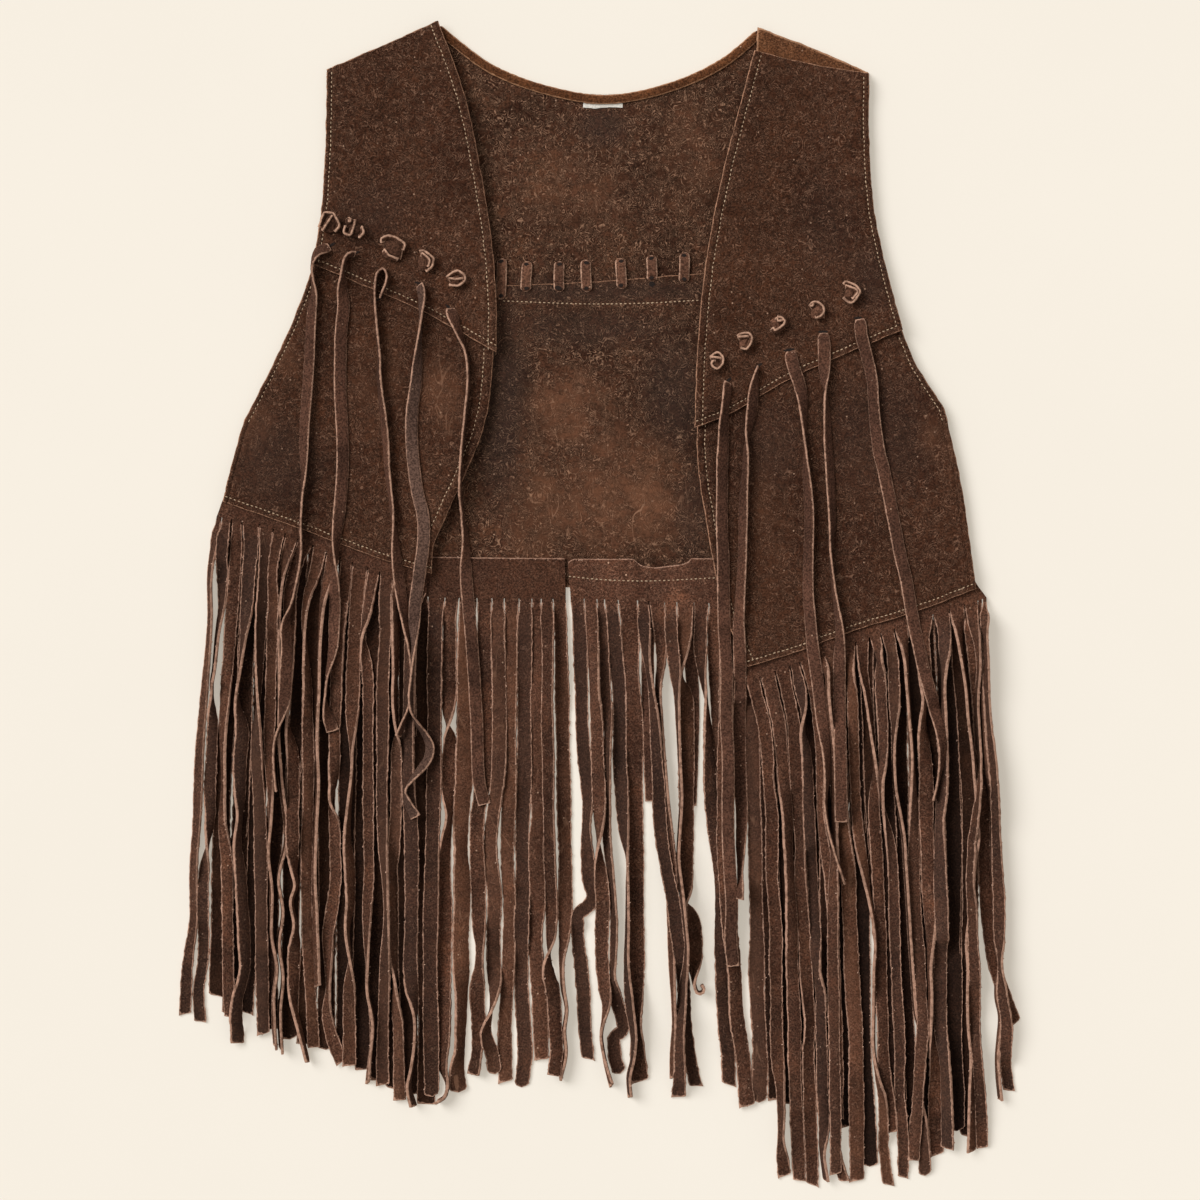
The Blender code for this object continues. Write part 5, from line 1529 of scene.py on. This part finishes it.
def grow(name, lines, tree, values, marks):
    """Runs a tree on one or more lines and keeps what it makes as a plain mesh."""
    links = []
    first = 0
    for line in lines:
        links += [(first + k, first + k + 1) for k in range(len(line) - 1)]
        first += len(line)
    mesh = bpy.data.meshes.new(name)
    mesh.from_pydata((np.concatenate(lines) * MM).tolist(), links, [])
    store(mesh, {label: np.concatenate(numbers) for label, numbers in marks.items()})
    return run_tree(show(name, mesh), tree, values)


def lace(name, lines, turns, width, wall, seed, finish, **more):
    values = dict(
        Width=width * MM, Wall=wall * MM, Ragged=RAGGED * MM, Seed=seed, Suede=MATERIALS[finish])
    marks = dict(
        turn=turns, end_mm=[end_gaps(line) for line in lines], scale=[np.ones(len(line)) for line in lines])
    return grow(name, lines, TREES["lace"], values, {**marks, **more})


def sew(name, lines, seed):
    values = dict(
        Pitch=STITCH_PITCH * MM, Length=STITCH_LENGTH * MM, Thickness=STITCH_THICK * MM, Seed=seed,
        Thread=MATERIALS["thread"])
    return grow(name + "_stitches", lines, TREES["stitches"], values, {})


def lay_thong(pile, name, run, seed):
    """A thong laid along its run: the piece and the line it follows. Its first end goes into a slit."""
    line = smooth_line(with_turns(run), STATION)
    path, turn = line[:, :2], np.radians(line[:, 2])
    widths = np.full(len(path), THONG_WIDTH)
    height = strand_rest(pile, path, widths, turn, THONG_WALL)
    strand_hull(pile, path, widths, turn, height, THONG_WALL)
    run_in = np.arange(len(path)) * STATION
    reach = 0.5 * THONG_WIDTH * np.abs(np.sin(turn)) + 0.5 * THONG_WALL
    height = np.maximum(height - THONG_DIP * ease(1 - run_in / DIP_RUN), reach + 0.2)
    centre = np.column_stack([path, height])
    scale = [THONG_NECK + (1 - THONG_NECK) * ease(run_in / 4.0)]
    finish = "suede_smooth" if name == SMOOTH_THONG else "suede_thong"
    piece = lace(name + "_suede", [centre], [turn], THONG_WIDTH, THONG_WALL, seed, finish, scale=scale)
    return piece, centre


def lay_loop(pile, name, x, y, length, seed):
    """A bar of thong that comes up through the back and goes down again, with rounded ends."""
    s = np.linspace(0, 1, LOOP_POINTS)
    path = np.column_stack([x + 0.5 * np.sin(3 * s + seed), y - length * s])
    arch = 0.5 * THONG_WALL + 0.15 + LOOP_ARCH * np.sin(np.pi * s) ** 0.5
    dip = LOOP_DIP * (ease(1 - s / 0.1) + ease((s - 0.9) / 0.1))
    centre = np.column_stack([path, pile.at(path) + arch - dip])
    turn = 0.12 * np.sin(4 * s + seed)
    strand_hull(pile, path, np.full(LOOP_POINTS, LOOP_WIDTH), turn, centre[:, 2], THONG_WALL)
    inwards = np.clip(end_gaps(centre) / LOOP_ROUND, 0, 1)
    return lace(
        name + "_suede", [centre], [turn], LOOP_WIDTH, THONG_WALL, seed, "suede_knot",
        scale=[np.maximum(np.sqrt(1 - (1 - inwards) ** 2), 0.35)], tone=[np.full(LOOP_POINTS, LOOP_TONE)])


def lay_knot(pile, name, knot, seed):
    """A lump of knotted thong with bands drawn round it on edge."""
    corners = np.array([point for band in knot.bands for point in band] + list(knot.body), float)
    low, high = corners.min(axis=0), corners.max(axis=0)
    box = np.array([low, (high[0], low[1]), high, (low[0], high[1])])
    floor = pile.under(box)
    bands, turns = [], []
    for k, points in enumerate(knot.bands):
        points = np.array(points, float)
        line = at_shares(points, np.linspace(0, 1, int(length_of(points) / KNOT_STEP) + 2))
        line[1:-1] = 0.5 * line[1:-1] + 0.25 * (line[:-2] + line[2:])
        share = np.linspace(0, 1, len(line))
        rise = floor + 0.45 * KNOT_WIDTH + 1.1 + 1.1 * np.sin(np.pi * share) + 0.2 * k
        bands.append(np.column_stack([line, rise]))
        turns.append(np.radians(np.linspace(*KNOT_TURNS, len(line))))
    ring = lace(name + "_suede", bands, turns, KNOT_WIDTH, KNOT_WALL, seed, "suede_knot")
    a, b = np.array(knot.body, float)
    long = float(np.hypot(*(b - a))) + 2.0
    along = (b - a) / np.hypot(*(b - a))
    side = np.array([-along[1], along[0]])
    steps = LUMP_CELLS + 1
    u, v = np.meshgrid(np.linspace(0, 1, steps), np.linspace(-1, 1, steps), indexing="ij")
    swell = 0.56 * knot.width * v * (0.84 + 0.16 * np.sin(np.pi * u))
    plan = (a - along + along * (long * u[..., None]) + side * swell[..., None]).reshape(-1, 2)
    dome = (1 - 0.5 * np.abs(2 * u - 1) ** 2.4) * (1 - 0.55 * np.abs(v) ** 2.6)
    fold = 0.9 * np.sin(2.4 * v + 1.7 * u + seed)
    under = np.column_stack([plan, np.full(u.size, floor)])
    over = np.column_stack([plan, (floor + 0.7 + KNOT_RISE * dome + fold).ravel()])
    quads = grid_quads(LUMP_CELLS, LUMP_CELLS)
    points, faces, rim = closed_wall(under, over, quads, np.random.default_rng(seed))
    gap = (long * (1 - u)).ravel() + 0.25
    marks = {"edge_mm": np.concatenate([gap + 4, gap, gap[rim]]), "tone": np.full(len(points), knot.tone)}
    end = add_piece(name + "_end", points, faces, "suede_lump", marks)
    end.data.set_sharp_from_angle(angle=math.radians(LUMP_SHARP))
    pile.cover(np.column_stack([box, np.full(4, floor + 0.8 * KNOT_RISE)]), [(0, 1, 2, 3)])
    return ring, end


def shade_slits(pile, name):
    """Slits in a panel as dark, low lenses that lie in its surface: painted shade for the holes."""
    points, faces = [], []
    for x, y, half_length, half_width, turn in SLITS[name]:
        c, s = math.cos(math.radians(turn)), math.sin(math.radians(turn))
        around = [[x, y], [x - 0.8, y], [x + 0.8, y], [x, y - 0.8], [x, y + 0.8]]
        middle = float(pile.at(np.array(around)).max())
        first = len(points)
        points += [(x, y, middle + 0.22), (x, y, middle - 0.4)]
        for k in range(SLIT_POINTS):
            a = 2 * math.pi * k / SLIT_POINTS
            u, v = half_length * math.cos(a), half_width * math.sin(a) * abs(math.sin(a)) ** 0.3
            points.append((x + u * c - v * s, y + u * s + v * c, middle + 0.04))
        for k in range(SLIT_POINTS):
            here, after = first + 2 + k, first + 2 + (k + 1) % SLIT_POINTS
            faces += [(first, here, after), (first + 1, after, here)]
    return add_piece(name + "_slits", np.array(points), np.array(faces), "slit", {})


def lay_binding(pile):
    """The neck's edge, rolled to the inside."""
    line = at_shares(edge_line((NECK,)), np.linspace(0.01, 0.99, BINDING_POINTS))
    shares = BINDING_SHARES
    plan = np.stack([line - across(line) * (BINDING_WIDTH * share) for share in shares])
    dome = BINDING_RISE * np.sin(np.pi * np.clip(shares, 0.02, 0.98)) ** 0.6
    at = np.arange(BINDING_POINTS)
    pucker = 1 + 0.18 * np.sin(at * 1.9) * np.sin(at * 0.37)
    low = np.column_stack([plan.reshape(-1, 2), pile.drape(plan).ravel()])
    high = low + np.column_stack([np.zeros((len(low), 2)), (0.9 + np.outer(dome, pucker)).ravel()])
    quads = grid_quads(len(shares) - 1, BINDING_POINTS - 1)
    points, faces, rim = closed_wall(low, high, quads, np.random.default_rng(5))
    pile.cover(high, quads)
    gap = np.repeat(BINDING_WIDTH * np.minimum(shares, 1 - shares), BINDING_POINTS) + 0.1
    marks = {"edge_mm": np.concatenate([gap, gap, gap[rim]])}
    return add_piece("neck_binding_suede", points, faces, "suede_binding", marks)


def build():
    pile = Pile()
    panels, fringes, sewn, slits, cords, tufts = {}, {}, {}, {}, {}, {}
    for name in ("back_yoke", "back_lower"):
        panels[name] = lay_panel(pile, name)
    sewn["back_lower"] = [pile.on_top(smooth_line(BACK_SEAM, 2.0))]
    label = lay_panel(pile, "label_stub").piece
    binding = lay_binding(pile)
    loops = [lay_loop(pile, f"back_loop_{i}", *loop, i) for i, loop in enumerate(LOOPS, 1)]
    slits["back_yoke"] = shade_slits(pile, "back_yoke")
    for i, (name, run) in enumerate(TAILS.items()):
        cords[name] = lay_thong(pile, name, run, 60 + i)
    for name in ("back_fringe_left", "back_fringe_right"):
        fringes[name] = lay_fringe(pile, name)
    sewn["back_fringe_right"] = [pile.on_top(smooth_line(BACK_FRINGE_SEAM, 2.0))]
    for name in OVER_THE_BACK:
        if name in FRINGES:
            fringes[name] = lay_fringe(pile, name)
        else:
            panels[name] = lay_panel(pile, name)
    for name in ("front_left_yoke", "front_right_yoke"):
        slits[name] = shade_slits(pile, name)
    knots = {name: lay_knot(pile, name, knot, 80 + i) for i, (name, knot) in enumerate(KNOTS.items())}
    for i, (name, run) in enumerate(THONGS.items()):
        cords[name] = lay_thong(pile, name, run, 20 + i)
    for name, laid in panels.items():
        sewn[name] = sewn.get(name, []) + laid.stitch_lines
    threads = {name: sew(name, lines, 40 + i) for i, (name, lines) in enumerate(sewn.items()) if lines}
    for i, (name, laid) in enumerate(fringes.items()):
        tufts[name] = shed(laid.piece, name, FRINGE_FUZZ, FRINGE_FIBRE, 120 + i)
    for i, name in enumerate(THONGS):
        tufts[name] = shed(cords[name][0], name, THONG_FUZZ, THONG_FIBRE, 140 + i)
    along = {name: [] for name in (*panels, *fringes, *cords)}
    for name, piece in [*threads.items(), *tufts.items()]:
        along[name].append(piece)
    along["back_yoke"] += [label, binding, *loops]
    for name, pair in knots.items():
        along["front_left_yoke" if "left" in name else "front_right_yoke"] += pair
    for name, piece in slits.items():
        along[name].append(piece)
    declare()


def declare():
    """Hangs every piece under one root body, and hides the imported parts that the suede pieces stand in
    for.
    """
    for name, piece in PIECES.items():
        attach(piece, "root")
        if name.endswith("_suede"):
            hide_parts(name[:-6])


def light_stage():
    """A pale floor, soft light from the upper left, and the camera straight above."""
    half = FLOOR_HALF
    corners = [(-half, -half, 0), (half, -half, 0), (half, half, 0), (-half, half, 0)]
    mesh = bpy.data.meshes.new("floor")
    mesh.from_pydata(corners, [], [(0, 1, 2, 3)])
    mesh.materials.append(MATERIALS["floor"])
    show("floor", mesh)
    sun = bpy.data.lights.new("window", "SUN")
    sun.angle = math.radians(36)
    sun.energy = 2.6
    sun.color = (1.0, 0.995, 0.989)
    lamp = show("window", sun)
    lamp.rotation_euler = Vector((0.6, -0.38, -0.7)).to_track_quat("-Z", "Y").to_euler()
    world = bpy.data.worlds.new("studio")
    world.use_nodes = True
    sky = world.node_tree.nodes["Background"].inputs
    sky["Color"].default_value = (1.0, 0.955, 0.89, 1.0)
    sky["Strength"].default_value = 0.43
    lens = bpy.data.cameras.new("view")
    lens.lens = LENS
    lens.sensor_width = SENSOR
    camera = show("view", lens)
    camera.location = CAMERA
    scene = bpy.context.scene
    scene.world = world
    scene.camera = camera
    scene.view_settings.view_transform = "Standard"


GROUPS = {"nap": nap_group(), "cut": cut_group(), "wear": wear_group()}
MATERIALS = {name: suede_material(name) for name in FINISHES}
MATERIALS.update((name, plain_material(name)) for name in PLAIN if name != "floor")
MATERIALS["floor"] = floor_material()
TREES = {"lace": lace_tree(), "stitches": stitch_tree(), "fibres": fibre_tree()}

light_stage()
build()
bpy.context.view_layer.update()
